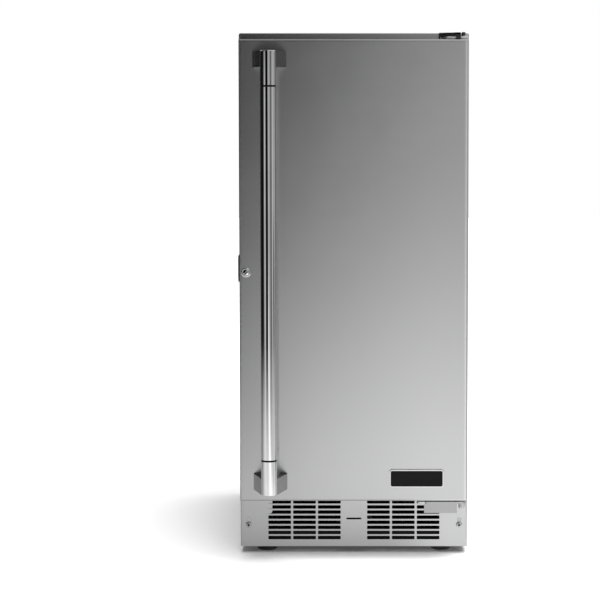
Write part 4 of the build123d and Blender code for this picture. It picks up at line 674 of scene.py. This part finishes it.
def add_panel_screws():
    """Screws of the kick plate, the strike and the back."""
    seats = [(FORWARD, (side * KICK_SCREW_X, CASE_FRONT, KICK_SCREW_Z)) for side in (-1, 1)]
    seats += [(FORWARD, (STRIKE_SCREW_X, CASE_FRONT - STRIKE_SHEET, z)) for z in STRIKE_SCREWS_Z]
    seats += [(BACKWARD, (side * REAR_SCREW_X, CASE_BACK, z)) for side in (-1, 1) for z in REAR_SCREWS_Z]
    head = screw(SCREW_HEAD_RADIUS, SCREW_HEAD_HEIGHT, SCREW_SHANK_RADIUS, SCREW_LENGTH)
    floor = recess_shade_plug(SCREW_HEAD_RADIUS, SCREW_HEAD_HEIGHT)
    heads, shade_plugs = [[placed(shape, *seat) for seat in seats] for shape in (head, floor)]
    add_piece("cross_head_screws", "cabinet", "screw_steel", heads, ("panel_screws",))
    # Black plugs in the screws' recesses: painted shade.
    add_piece("screw_recess_painted_shade", "cabinet", "black_paint", shade_plugs)


UPPER_HINGE_SCREWS = ((145.4, 860.45), (154.4, 860.45))
LOWER_HINGE_SCREWS = ((156.6, 88.8), (165.6, 88.8))


def add_hinge_screws():
    """Screws of the two hinge brackets, the upper left one black: painted shade for the shadow at its bolt
    head.
    """
    head = screw(HINGE_SCREW_HEAD_RADIUS, SCREW_HEAD_HEIGHT, SCREW_SHANK_RADIUS, SCREW_LENGTH)
    seat = CASE_FRONT - HINGE_SHEET
    # The upper left screw gets black paint as painted shade.
    black, *bright = [placed(head, FORWARD, (x, seat, z)) for x, z in UPPER_HINGE_SCREWS + LOWER_HINGE_SCREWS]
    add_piece("bright_hinge_screws", "cabinet", "screw_steel", bright, ("hinge_screws",))
    add_piece("hinge_screw_painted_shade", "cabinet", "black_paint", [black])


# Hinges

HINGE_X, HINGE_Y = 178.5, -249.65
LEAF_LOW, LEAF_TOP = 853.4, 856.6
LEAF_LEFT, LEAF_RIGHT, LEAF_FRONT = 150.0, 185.5, -258.65
FLANGE_LEFT, FLANGE_RIGHT, FLANGE_TOP = 139.4, 175.9, 865.0
COVER_LOW, COVER_TOP, COVER_FRONT = 860.4, 863.5, -260.6
COVER_LIP, COVER_SHEET, COVER_RIM, COVER_GAP = 858.2, 1.4, 1.9, 0.02
ARM_LEFT, ARM_RIGHT, ARM_SLANT = 165.9, 173.6, 0.8
SCREW_NOTCH_RIGHT, SCREW_NOTCH_FRONT = 158.8, -223.5


def add_upper_hinge():
    """A bright angle holds the pin over the door. A slanting black cover hooks over its front edge."""
    leaf = eased(rectangle(LEAF_LEFT, LEAF_RIGHT, LEAF_FRONT, CASE_FRONT), (3.0, 7.0, 0.3, 0.3))
    flange = eased(rectangle(FLANGE_LEFT, FLANGE_RIGHT, LEAF_LOW, FLANGE_TOP), (0.5, 0.5, 2.0, 2.0))
    flange = placed(prism(flange, -CASE_FRONT, HINGE_SHEET - CASE_FRONT), FORWARD, (0, 0, 0))
    shapes = [prism(leaf, LEAF_LOW, LEAF_TOP), flange]
    add_piece("upper_hinge_angle", "cabinet", "hinge_steel", shapes, ("upper_hinge_bracket",), 0.4, PALE_ZINC)
    face = CASE_FRONT - HINGE_SHEET - COVER_GAP
    rim, inside = FLANGE_LEFT + COVER_RIM, COVER_FRONT + COVER_SHEET
    bend = (FLANGE_LEFT, SCREW_NOTCH_FRONT - 1.0)
    plate = [(FLANGE_LEFT, face), bend, (ARM_LEFT, COVER_FRONT), (ARM_RIGHT, COVER_FRONT), (ARM_RIGHT, face)]
    plate += [(SCREW_NOTCH_RIGHT, face), (SCREW_NOTCH_RIGHT, SCREW_NOTCH_FRONT)]
    plate += [(rim, SCREW_NOTCH_FRONT), (rim, face)]
    lip = [(FLANGE_LEFT, SCREW_NOTCH_FRONT), bend, (ARM_LEFT, COVER_FRONT), (ARM_RIGHT, COVER_FRONT)]
    lip += [(ARM_RIGHT, inside), (ARM_LEFT + ARM_SLANT, inside)]
    lip += [(FLANGE_LEFT + COVER_SHEET, SCREW_NOTCH_FRONT)]
    hook = rectangle(ARM_LEFT, ARM_RIGHT, COVER_FRONT, inside)
    side = rectangle(FLANGE_LEFT, rim, face - 2.0, face)
    shapes = [
        prism(eased(plate, 0.3, steps=2), COVER_LOW, COVER_TOP),
        prism(eased(lip, 0.2, steps=2), COVER_LIP, COVER_TOP - 0.2),
        prism(eased(hook, 0.2, steps=2), LEAF_LOW + 0.2, COVER_LIP + 1.0),
        prism(eased(side, 0.2, steps=2), LEAF_LOW + 0.2, COVER_LOW + 0.2),
    ]
    add_piece("upper_hinge_cover", "cabinet", "black_paint", shapes, edge=0.2)


LOWER_LEAF_LOW, LOWER_LEAF_TOP = 92.8, 96.0
STOP_LEFT, STOP_RIGHT = 104.5, 117.2
STOP_FRONT, STOP_BACK = -266.5, -252.0


def add_hinge_stop():
    """The short arm that reaches left from the lower hinge's leaf."""
    outline = eased(rectangle(STOP_LEFT, STOP_RIGHT, STOP_FRONT, STOP_BACK), (2.0, 0.2, 0.2, 2.0))
    arm = prism(outline, LOWER_LEAF_LOW + 0.1, LOWER_LEAF_TOP - 0.1)
    add_piece("lower_hinge_stop", "cabinet", "hinge_steel", [arm], edge=0.3)


PIN_RADIUS = 4.0
LOWER_PIN_TOP, UPPER_PIN_LOW = 110.0, 840.0
BOSS_RADIUS, BOSS_LOW, BOSS_ROUND = 6.0, 82.0, 3.0
WASHER_RADIUS, WASHER_HEIGHT = 5.5, 1.2
PIN_END_RADIUS, PIN_END_TOP = 3.2, 864.4


def add_hinge_pins():
    """The lower pin stands on a rounded boss, and the upper one hangs from a washer under a blackened end."""
    lower = [(0.0, BOSS_LOW), (BOSS_RADIUS, BOSS_LOW), (BOSS_RADIUS, LOWER_LEAF_LOW)]
    lower += [(PIN_RADIUS, LOWER_LEAF_LOW), (PIN_RADIUS, LOWER_PIN_TOP), (0.0, LOWER_PIN_TOP)]
    lower = turned(eased(lower, (0.0, BOSS_ROUND, 0.4, 0.2, 0.8, 0.0), closed=False))
    washer_top = LEAF_TOP + WASHER_HEIGHT
    upper = [(0.0, UPPER_PIN_LOW), (PIN_RADIUS, UPPER_PIN_LOW), (PIN_RADIUS, LEAF_TOP)]
    upper += [(WASHER_RADIUS, LEAF_TOP), (WASHER_RADIUS, washer_top), (0.0, washer_top)]
    upper = turned(eased(upper, (0.0, 0.8, 0.2, 0.2, 0.4, 0.0), closed=False))
    here = (HINGE_X, HINGE_Y, 0.0)
    shapes = [placed(lower, UPWARD, here), placed(upper, UPWARD, here)]
    add_piece("hinge_pin_rods", "cabinet", "hinge_steel", shapes, ("hinge_pins",), finish=PALE_ZINC)
    end = [(0.0, washer_top), (PIN_END_RADIUS, washer_top), (PIN_END_RADIUS, PIN_END_TOP), (0.0, PIN_END_TOP)]
    end = turned(eased(end, (0.0, 0.2, 1.6, 0.0), closed=False))
    add_piece("upper_pin_end", "cabinet", "black_paint", [placed(end, UPWARD, here)])


# Lock

LOCK_X, LOCK_Z, DOOR_FACE = -175.4, 474.0, -271.65
LOCK_FLANGE_RADIUS, LOCK_FLANGE_HEIGHT = 8.0, 2.0
LOCK_BODY_RADIUS, LOCK_BODY_LENGTH = 7.0, 20.0
LOCK_BORE_RADIUS, PLUG_RADIUS = 5.45, 5.3
PLUG_FACE, KEY_SLOT_DEPTH = 1.1, 4.5
KEY_SLOT_HALF_LENGTH, KEY_SLOT_HALF_WIDTH, KEY_SLOT_EASE = 3.3, 0.85, 0.3
KEY_SLOT_TILT = math.radians(40)
LOCK_SIDES = 64


def add_lock():
    """A domed flange round a plug that sits a little back, with a key slot whose edges are eased."""
    section = [(LOCK_BORE_RADIUS, -LOCK_BODY_LENGTH), (LOCK_BORE_RADIUS, LOCK_FLANGE_HEIGHT)]
    section += [(LOCK_FLANGE_RADIUS, LOCK_FLANGE_HEIGHT), (LOCK_FLANGE_RADIUS, 0.0)]
    section += [(LOCK_BODY_RADIUS, 0.0), (LOCK_BODY_RADIUS, -LOCK_BODY_LENGTH)]
    flange = turned_ring(eased(section, (0.3, 0.7, 1.7, 0.2, 0.2, 0.4), steps=6), LOCK_SIDES)
    here = (LOCK_X, DOOR_FACE, LOCK_Z)
    add_piece("lock_body", "door", "chrome", [placed(flange, FORWARD, here)], ("lock_housing",))
    angle = np.linspace(0.0, TURN, LOCK_SIDES, endpoint=False) - KEY_SLOT_TILT
    slot, mouth = (
        reach_of_bar(angle, KEY_SLOT_HALF_LENGTH + ease, KEY_SLOT_HALF_WIDTH + ease)
        for ease in (0.0, KEY_SLOT_EASE)
    )
    whole = np.ones(LOCK_SIDES)
    profile = [
        (slot * 0.0, PLUG_FACE - KEY_SLOT_DEPTH),
        (slot * 0.9, PLUG_FACE - KEY_SLOT_DEPTH),
        (slot, PLUG_FACE - 0.4),
        (mouth, PLUG_FACE),
        (whole * (PLUG_RADIUS - 0.6), PLUG_FACE + 0.12),
        (whole * (PLUG_RADIUS - 0.15), PLUG_FACE - 0.1),
        (whole * PLUG_RADIUS, PLUG_FACE - 0.5),
        (whole * PLUG_RADIUS, -LOCK_BODY_LENGTH),
        (whole * 0.0, -LOCK_BODY_LENGTH),
    ]
    plug = placed(uneven_turned(profile), FORWARD, here)
    add_piece("lock_barrel", "lock", "chrome", [plug], ("lock_plug",))


# Button marks

BUTTON_FRONT, BUTTON_Z = -192.05, 807.0
LIGHT_X, COLDER_X, WARMER_X = -72.0, 52.0, 76.0
MARK_HALF, MARK_WIDTH, MARK_SUNK, MARK_PROUD = 2.6, 0.9, -0.3, 0.25
RING_INNER, RING_OUTER, RING_SIDES = 1.6, 2.5, 40


def add_button_marks():
    """Raised marks on the three buttons: a ring for the lamp, a bar for colder and a cross for warmer."""
    half = MARK_WIDTH / 2
    bar = rectangle(-MARK_HALF, MARK_HALF, -half, half)
    # One arm of the cross, as complex numbers, is turned by quarters.
    arm = np.array([half + half * 1j, half + MARK_HALF * 1j, -half + MARK_HALF * 1j])
    cross = np.concatenate([arm * 1j**quarter for quarter in range(4)])
    ring = turned_ring(rectangle(RING_INNER, RING_OUTER, MARK_SUNK, MARK_PROUD), RING_SIDES)
    marks = (
        ("light", LIGHT_X, ring),
        ("colder", COLDER_X, prism(bar, MARK_SUNK, MARK_PROUD)),
        ("warmer", WARMER_X, prism(np.column_stack((cross.real, cross.imag)), MARK_SUNK, MARK_PROUD)),
    )
    for name, x, shape in marks:
        mark = placed(shape, FORWARD, (x, BUTTON_FRONT, BUTTON_Z))
        add_piece(f"{name}_mark", f"{name}_button", "control_plastic", [mark])


# Kick plate details

PLATE_LEFT, PLATE_RIGHT = -151.0, -136.0
PLATE_LOW, PLATE_TOP = 66.5, 96.5
PLATE_FRONT, PLATE_SHEET = 216.3, 1.5


def add_reversing_plate():
    """The plate behind the kick plate's left that takes the lower hinge of a door hung the other way."""
    outline = eased(rectangle(PLATE_LEFT, PLATE_RIGHT, PLATE_LOW, PLATE_TOP), (0.3, 5.0, 0.3, 0.3), steps=6)
    plate = prism(outline, PLATE_FRONT - PLATE_SHEET, PLATE_FRONT)
    add_piece("reversing_plate", "cabinet", "stainless", [placed(plate, FORWARD, (0, 0, 0))], edge=0.2)


# Condenser

COIL_HALF, COIL_END = 132.0, 142.0
COIL_FRONT, COIL_BACK = -167.65, -123.65
COIL_LOW, COIL_HIGH = 17.5, 97.5
COIL_FLOOR = 13.5
FIN_COUNT, FIN_SHEET, END_SHEET = 86, 0.3, 1.5
COIL_PIPE_RADIUS = 4.0
COIL_ROWS = 3
# Near-black enamel: partly the coil's own black coating, partly painted shade behind the kick plate's slots.
COIL_ENAMEL_AND_SHADE = moulded("coil enamel and painted shade", (0.004,) * 3, (0.008,) * 3, 0.45, 0.6, pebble=0.001, gleam=0.2)


def add_condenser():
    """Black enamelled fins on one pipe that runs to and fro: level bends right, upright bends left. The
    enamel is near black, partly as painted shade behind the kick plate's slots.
    """
    middle_y, middle_z = (COIL_FRONT + COIL_BACK) / 2, (COIL_LOW + COIL_HIGH) / 2
    depth, height = COIL_BACK - COIL_FRONT, COIL_HIGH - COIL_LOW
    row, rank = height / COIL_ROWS, depth / 2
    low, middle, top = COIL_LOW + row * (np.arange(COIL_ROWS) + 0.5)
    front, back = middle_y - rank / 2, middle_y + rank / 2
    fin_x = np.linspace(-COIL_HALF + 2 * END_SHEET, COIL_HALF - 2 * END_SHEET, FIN_COUNT)
    fins = blocks([(x, middle_y, middle_z) for x in fin_x], (FIN_SHEET, depth, height))
    end_x = COIL_HALF - END_SHEET / 2
    end_height = COIL_HIGH - COIL_FLOOR
    end_middles = [(x, middle_y, COIL_FLOOR + end_height / 2) for x in (-end_x, end_x)]
    shapes = [fins, blocks(end_middles, (END_SHEET, depth, end_height))]
    passes = (
        (back, top, -COIL_END, COIL_HALF),
        (front, top, -COIL_HALF, COIL_HALF),
        (front, middle, -COIL_HALF, COIL_HALF),
        (back, middle, -COIL_HALF, COIL_HALF),
        (back, low, -COIL_HALF, COIL_END),
    )
    for y, z, start, end in passes:
        run = turned([(COIL_PIPE_RADIUS, start), (COIL_PIPE_RADIUS, end)], sides=14)
        shapes.append(placed(run, RIGHTWARD, (0.0, y, z)))
    right, left, back_way, up = (1.0, 0.0, 0.0), (-1.0, 0.0, 0.0), (0.0, 1.0, 0.0), (0.0, 0.0, 1.0)
    bends = (
        ((COIL_HALF, middle_y, top), right, back_way, rank),
        ((COIL_HALF, middle_y, middle), right, back_way, rank),
        ((-COIL_HALF, front, (top + middle) / 2), left, up, row),
        ((-COIL_HALF, back, (middle + low) / 2), left, up, row),
    )
    for centre, outward, aside, width in bends:
        shapes.append(pipe_bend(centre, outward, aside, width / 2, COIL_PIPE_RADIUS))
    add_piece("finned_condenser", "cabinet", "black_paint", shapes, ("condenser",), finish=COIL_ENAMEL_AND_SHADE)


# Fans

BLADES = 5
HUB_RADIUS, HUB_HALF, SHAFT_RADIUS = 12.0, 7.0, 2.0
ROOT_PITCH, TIP_PITCH = math.radians(40), math.radians(22)
ROOT_CHORD, BLADE_ROOT_SUNK = 13.0, 1.0
# The section is bent by its camber and is edge thick at its ends and edge plus belly in its middle, each way.
BLADE_CAMBER, BLADE_EDGE, BLADE_BELLY = 1.2, 0.25, 0.5
BLADE_SWEEP = 0.25


def fan_blade(start, tip_radius, tip_chord):
    """One blade: from hub to tip its lens-shaped section turns flatter, grows wider and is swept forwards."""
    span = np.linspace(0.0, 1.0, 13)[:, None]
    share = np.linspace(-0.5, 0.5, 11)
    loop = np.concatenate((share, share[-2:0:-1]))[None, :]
    side = np.concatenate((np.ones(len(share)), -np.ones(len(share) - 2)))[None, :]
    root = HUB_RADIUS - BLADE_ROOT_SUNK
    radius = root + span * (tip_radius - root)
    pitch = ROOT_PITCH + (TIP_PITCH - ROOT_PITCH) * span
    chord = ROOT_CHORD + (tip_chord - ROOT_CHORD) * span**0.7
    lens = 1.0 - (2 * loop) ** 2
    along = loop * chord * np.cos(pitch)
    depth = loop * chord * np.sin(pitch) + BLADE_CAMBER * lens + side * (BLADE_EDGE + BLADE_BELLY * lens)
    angle = start + along / radius + BLADE_SWEEP * span**2
    return closed_rows(np.stack((radius * np.cos(angle), radius * np.sin(angle), depth), axis=-1))


def fan_wheel(tip_radius, tip_chord, shaft_low):
    """A hub with a rounded cap and a shaft, and its blades. The hub's middle is at height 0."""
    hub = [(0.0, HUB_HALF), (HUB_RADIUS, HUB_HALF), (HUB_RADIUS, -HUB_HALF), (SHAFT_RADIUS, -HUB_HALF)]
    hub += [(SHAFT_RADIUS, shaft_low), (0.0, shaft_low)]
    wheel = [turned(eased(hub, (0.0, 3.0, 0.4, 0.2, 0.3, 0.0), closed=False))]
    return wheel + [fan_blade(TURN * number / BLADES, tip_radius, tip_chord) for number in range(BLADES)]


def add_fan(name, node_name, body, tip_radius, tip_chord):
    """Puts a fan wheel where its plain node is: the hub's cap looks forwards and the shaft runs back."""
    low, high = (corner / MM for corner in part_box(node_name))
    middle = ((low.x + high.x) / 2, low.y + HUB_HALF, (low.z + high.z) / 2)
    wheel = fan_wheel(tip_radius, tip_chord, middle[1] - high.y)
    shapes = [placed(shape, FORWARD, middle) for shape in wheel]
    add_piece(name, body, "black_plastic", shapes, (node_name,))


# Door gasket

GASKET_INNER, GASKET_LOW, GASKET_HIGH = 152.0, 136.0, 826.0
GASKET_DOOR_SIDE = -223.65
GASKET_HALF_WIDTH = 8.0
# Half of the bellows in section: outward from its middle, and away from the door
HALF_SECTION = (
    (8.0, 0.0), (8.0, 1.2), (6.0, 1.6), (6.9, 2.6), (5.9, 3.4), (6.6, 4.4), (5.6, 5.8), (1.4, 5.8), (0.0, 5.0)
)
CORNER_RADIUS, CORNER_GROWTH = 1.0, 0.19


def rounded_frame(reach, corner, steps=5):
    """A rectangle round the opening, reach outside its inner edge, with round corners of a radius."""
    half_across = GASKET_INNER + reach - corner
    half_up = (GASKET_HIGH - GASKET_LOW) / 2 + reach - corner
    quarter = np.linspace(0.0, np.pi / 2, steps + 1)
    angle = (quarter + np.arange(4)[:, None] * np.pi / 2).reshape(-1)
    across = np.repeat((1, -1, -1, 1), steps + 1) * half_across + corner * np.cos(angle)
    up = np.repeat((1, 1, -1, -1), steps + 1) * half_up + corner * np.sin(angle)
    return across, up


def add_gasket():
    """The bellows' section carried round the opening: every point of it is a rounded rectangle of its own."""
    section = [(GASKET_HALF_WIDTH + aside, depth) for aside, depth in HALF_SECTION]
    section += [(GASKET_HALF_WIDTH - aside, depth) for aside, depth in HALF_SECTION[-2::-1]]
    section = eased(section, 0.25, steps=2)
    rows = []
    for reach, depth in np.concatenate((section, section[:1])):
        across, up = rounded_frame(reach, CORNER_RADIUS + CORNER_GROWTH * reach)
        rows.append(np.column_stack((across, np.full(len(across), GASKET_DOOR_SIDE + depth), up)))
    bellows = closed_rows(np.stack(rows), ends=False)
    middle = (0.0, 0.0, (GASKET_LOW + GASKET_HIGH) / 2)
    add_piece("bellows_gasket", "door", "gasket_rubber", [placed(bellows, UPWARD, middle)], ("door_gasket",))


# Legs

FOOT_RADIUS, FOOT_HEIGHT = 17.0, 8.0
FOOT_SOLE, FOOT_RIM_LOW, FOOT_RIM_TOP = 15.5, 1.6, 3.6
FOOT_NECK, FOOT_NECK_LOW = 15.8, 4.4
HEX_RADIUS, HEX_TOP = 7.0, 11.4
STUD_RADIUS, STUD_TOP = 5.0, 55.5
THREAD_PITCH, THREAD_DEPTH = 1.5, 0.7


def threaded_stud():
    """A stud whose radius falls and rises once in each pitch, and by one pitch in each turn."""
    level = np.arange(HEX_TOP, STUD_TOP - 1.0, THREAD_PITCH / 6)[:, None]
    angle = np.linspace(0.0, TURN, 24, endpoint=False)[None, :]
    phase = (level / THREAD_PITCH - angle / TURN) % 1.0
    radius = STUD_RADIUS - THREAD_DEPTH * np.abs(2 * phase - 1.0)
    height = np.broadcast_to(level, radius.shape)
    body = np.stack((radius * np.cos(angle), radius * np.sin(angle), height), axis=-1)
    tip = body[-1:] * 0.8
    tip[..., 2] = STUD_TOP
    return closed_rows(np.concatenate((body, tip)))


def add_leg(name, node_name, body):
    """A moulded foot with a rim round it, a hexagon to turn it by, and the threaded stud."""
    low, high = (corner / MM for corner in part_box(node_name))
    here = ((low.x + high.x) / 2, (low.y + high.y) / 2, 0.0)
    foot = [(0.0, 0.0), (FOOT_SOLE, 0.0), (FOOT_RADIUS, FOOT_RIM_LOW), (FOOT_RADIUS, FOOT_RIM_TOP)]
    foot += [(FOOT_NECK, FOOT_NECK_LOW), (FOOT_NECK, FOOT_HEIGHT)]
    foot += [(HEX_RADIUS, FOOT_HEIGHT), (0.0, FOOT_HEIGHT)]
    foot = turned(eased(foot, (0.0, 0.4, 0.7, 0.5, 0.4, 1.6, 0.3, 0.0), closed=False), sides=64)
    corner = np.arange(6) * TURN / 6
    hexagon = prism(HEX_RADIUS * np.column_stack((np.cos(corner), np.sin(corner))), FOOT_HEIGHT, HEX_TOP)
    shapes = [placed(shape, UPWARD, here) for shape in (foot, hexagon, threaded_stud())]
    add_piece(name, body, "black_plastic", shapes, (node_name,))


add_panel_screws()
add_hinge_screws()
add_upper_hinge()
add_hinge_stop()
add_hinge_pins()
add_lock()
add_button_marks()
add_reversing_plate()
add_condenser()
add_fan("condenser_fan_wheel", "condenser_fan", "condenser_fan", 34.8, 22.0)
add_fan("duct_fan_wheel", "duct_fan", "duct_fan", 38.8, 24.0)
add_gasket()
for corner in ("front_left", "front_right", "rear_left", "rear_right"):
    add_leg(f"screw_leg_{corner}", f"leg_{corner}", f"{corner}_leg")


# Studio

FLOOR_SIZE = 24.0
FLOOR_GREY = 0.92
# How much the lens sees the floor lifted, near the object and far from it, and between which distances
LIFT_LEVELS = (0.06, 1.0)
LIFT_REACH = (0.55, 1.5)
# The glow that metal sees: how far it reaches, how strong it is from left to right, and where it changes
GLOW_REACH_ASIDE, GLOW_REACH_AHEAD = 3.8, 9.0
GLOW_LEFT, GLOW_RIGHT, GLOW_FAR_RIGHT = 1.0, 1.35, 0.75
GLOW_MIDDLE, GLOW_OUTSIDE = (-0.30, 0.25), (0.25, 0.75)
GLOW_ASIDE, GLOW_AHEAD = 0.35, (0.0, -0.9)
# The way straight ahead, along which it reaches far: its left and right edge, as shares of the distance
GLOW_PATH_LEFT, GLOW_PATH_RIGHT = (-0.16, -0.04), (0.30, 0.12)
# A brighter patch just in front of the right corner
GLOW_PATCH = 0.42
GLOW_PATCH_X, GLOW_PATCH_Y = (0.05, 0.17), (-0.60, -0.38)


def studio_floor():
    """A pale floor. The lens sees it rise to white far away, and metal sees it glow only near the object."""
    half = FLOOR_SIZE / 2
    mesh = bpy.data.meshes.new("floor")
    mesh.from_pydata([(x, y, 0.0) for x, y in rectangle(-half, half, -half, half)], [], [(0, 1, 2, 3)])
    floor = bpy.data.objects.new("floor", mesh)
    scene.collection.objects.link(floor)
    matt = {"Base Color": (*(FLOOR_GREY,) * 3, 1.0), "Roughness": 0.9, "Specular IOR Level": 0.0}
    material, tree, _ = new_material("studio floor", matt)
    flat = object_place(tree)
    away = node(tree, "ShaderNodeVectorMath", {0: flat}, operation="LENGTH").outputs["Value"]
    place = axes(tree, flat)
    rays = node(tree, "ShaderNodeLightPath").outputs
    diffuse = next(n for n in tree.nodes if n.type == "BSDF_PRINCIPLED").outputs[0]
    output = next(n for n in tree.nodes if n.type == "OUTPUT_MATERIAL")
    lifted = eased_between(tree, away, *LIFT_REACH, *LIFT_LEVELS)
    lift = node(tree, "ShaderNodeEmission", {"Strength": lifted})
    seen = node(tree, "ShaderNodeAddShader", {0: diffuse, 1: lift.outputs[0]}).outputs[0]
    across = eased_between(tree, place["X"], *GLOW_MIDDLE, GLOW_LEFT, GLOW_RIGHT)
    across = eased_between(tree, place["X"], *GLOW_OUTSIDE, across, GLOW_FAR_RIGHT)
    ahead = eased_between(tree, place["Y"], *GLOW_AHEAD, GLOW_ASIDE, 1.0)
    beside = smooth_step(tree, place["X"], *GLOW_PATCH_X)
    near = smooth_step(tree, place["Y"], *GLOW_PATCH_Y)
    patch = times(tree, times(tree, beside, near), GLOW_PATCH)
    glow = node(tree, "ShaderNodeEmission", {"Strength": maths(tree, "MULTIPLY_ADD", across, ahead, patch)})
    clear = node(tree, "ShaderNodeBsdfTransparent").outputs[0]
    aside = maths(tree, "DIVIDE", place["X"], away)
    left, right = (smooth_step(tree, aside, *edge) for edge in (GLOW_PATH_LEFT, GLOW_PATH_RIGHT))
    straight = times(tree, left, right)
    reach = blend_values(tree, straight, GLOW_REACH_ASIDE, GLOW_REACH_AHEAD)
    far = smooth_step(tree, away, 0.2, reach)
    mirror = node(tree, "ShaderNodeMixShader", {0: far, 1: glow.outputs[0], 2: clear}).outputs[0]
    mirrored = maths(tree, "MAXIMUM", rays["Is Glossy Ray"], rays["Is Transmission Ray"])
    first = node(tree, "ShaderNodeMixShader", {0: rays["Is Camera Ray"], 1: diffuse, 2: seen}).outputs[0]
    last = node(tree, "ShaderNodeMixShader", {0: mirrored, 1: first, 2: mirror})
    tree.links.new(last.outputs[0], output.inputs["Surface"])
    mesh.materials.append(material)


# The room in front of the door as metal sees it: brightness by how far a direction points to the right.
ROOM_ACROSS = (
    (-1.0, 0.0), (-0.94, 0.04), (-0.88, 0.16), (-0.80, 0.52), (-0.70, 0.62), (-0.60, 0.20), (-0.50, 0.03),
    (-0.38, 0.0), (-0.13, 0.0), (-0.07, 0.05), (-0.01, 0.24), (0.05, 0.50), (0.12, 0.55), (0.25, 0.40),
    (0.40, 0.42), (0.56, 0.16), (0.70, 0.13), (0.82, 0.24), (0.93, 0.60), (1.0, 0.34),
)
ROOM_BEHIND_LEFT, ROOM_BEHIND_RIGHT = 0.01, 0.78
ROOM_ABOVE_LEFT, ROOM_ABOVE_RIGHT = 0.12, 1.0
# How much of the room's light is left above eye level, on the left and on the right.
ROOM_HIGH_LEFT, ROOM_HIGH_RIGHT = 0.0, 0.8
# How much of it is left far on the right, below eye level.
ROOM_LOW_RIGHT = 0.15


def studio_room():
    """White to the camera. Other rays see a studio: dark front left, bright on the right and above."""
    world = bpy.data.worlds.new("studio")
    scene.world = world
    world.use_nodes = True
    tree = world.node_tree
    background = next(n for n in tree.nodes if n.type == "BACKGROUND")
    way = axes(tree, node(tree, "ShaderNodeTexCoord").outputs["Generated"])
    ramp = node(tree, "ShaderNodeValToRGB", {0: scaled_from(tree, way["X"], -1.0, 1.0)})
    ramp.color_ramp.interpolation = "EASE"
    stops = ramp.color_ramp.elements
    while len(stops) > 1:
        stops.remove(stops[-1])
    for number, (right, level) in enumerate(ROOM_ACROSS):
        stop = stops[0] if number == 0 else stops.new((right + 1.0) / 2)
        stop.position = (right + 1.0) / 2
        stop.color = (level, level, level, 1.0)
    front = node(tree, "ShaderNodeSeparateColor", {0: ramp.outputs[0]}).outputs[0]
    rightward = smooth_step(tree, way["X"], -0.08, 0.12)
    high = blend_values(tree, rightward, ROOM_HIGH_LEFT, ROOM_HIGH_RIGHT)
    front = times(tree, front, eased_between(tree, way["Z"], 0.01, 0.07, 1.0, high))
    low = smooth_step(tree, way["Z"], -0.03, -0.075)
    low_right = times(tree, low, smooth_step(tree, way["X"], 0.93, 1.0))
    front = times(tree, front, blend_values(tree, low_right, 1.0, ROOM_LOW_RIGHT))
    raised = smooth_step(tree, way["Z"], 0.12, 0.3)
    lit = maths(tree, "MAXIMUM", smooth_step(tree, way["X"], -0.7, -0.2), raised)
    side = blend_values(tree, lit, ROOM_BEHIND_LEFT, ROOM_BEHIND_RIGHT)
    level = eased_between(tree, way["Y"], 0.0, 0.35, front, side)
    ceiling = blend_values(tree, rightward, ROOM_ABOVE_LEFT, ROOM_ABOVE_RIGHT)
    level = eased_between(tree, way["Z"], 0.45, 0.85, level, ceiling)
    camera_ray = node(tree, "ShaderNodeLightPath").outputs["Is Camera Ray"]
    tree.links.new(blend_values(tree, camera_ray, level, 1.0), background.inputs["Strength"])
    background.inputs["Color"].default_value = (1.0, 1.0, 1.0, 1.0)


EDGE_LAMP_SIZE, EDGE_LAMP_POWER = (0.06, 0.80), 0.05
EDGE_LAMP_PLACE, EDGE_LAMP_TARGET = (0.2130, -0.2990, 0.47), (0.2080, -0.2500, 0.47)
FRONT_LAMP_SIZE, FRONT_LAMP_POWER = (1.8, 1.8), 60.0
FRONT_LAMP_PLACE, FRONT_LAMP_TARGET = (0.1, -3.2, 2.6), (0.0, 0.0, 0.2)
TOP_LAMP_SIZE, TOP_LAMP_POWER = (2.6, 2.6), 140.0
TOP_LAMP_PLACE, TOP_LAMP_TARGET = (0.45, -0.35, 3.1), (0.0, -0.1, 0.0)


def add_lamp(name, place, target, size, power):
    """Adds a flat lamp that looks at a target and returns it."""
    data = bpy.data.lights.new(name, "AREA")
    data.shape = "RECTANGLE"
    data.size, data.size_y = size
    data.energy = power
    lamp = bpy.data.objects.new(name, data)
    lamp.location = place
    way = lamp.location - Vector(target)
    lamp.rotation_euler = way.to_track_quat("Z", "Y").to_euler()
    scene.collection.objects.link(lamp)
    return lamp


def add_lamps():
    """A narrow lamp for the door's right edge, which only metal sees, and two that metal doesn't see."""
    edge = add_lamp("edge lamp", EDGE_LAMP_PLACE, EDGE_LAMP_TARGET, EDGE_LAMP_SIZE, EDGE_LAMP_POWER)
    edge.visible_camera = False
    edge.visible_diffuse = False
    front = add_lamp("front lamp", FRONT_LAMP_PLACE, FRONT_LAMP_TARGET, FRONT_LAMP_SIZE, FRONT_LAMP_POWER)
    front.visible_glossy = False
    top = add_lamp("top lamp", TOP_LAMP_PLACE, TOP_LAMP_TARGET, TOP_LAMP_SIZE, TOP_LAMP_POWER)
    top.visible_glossy = False


studio_floor()
studio_room()
add_lamps()
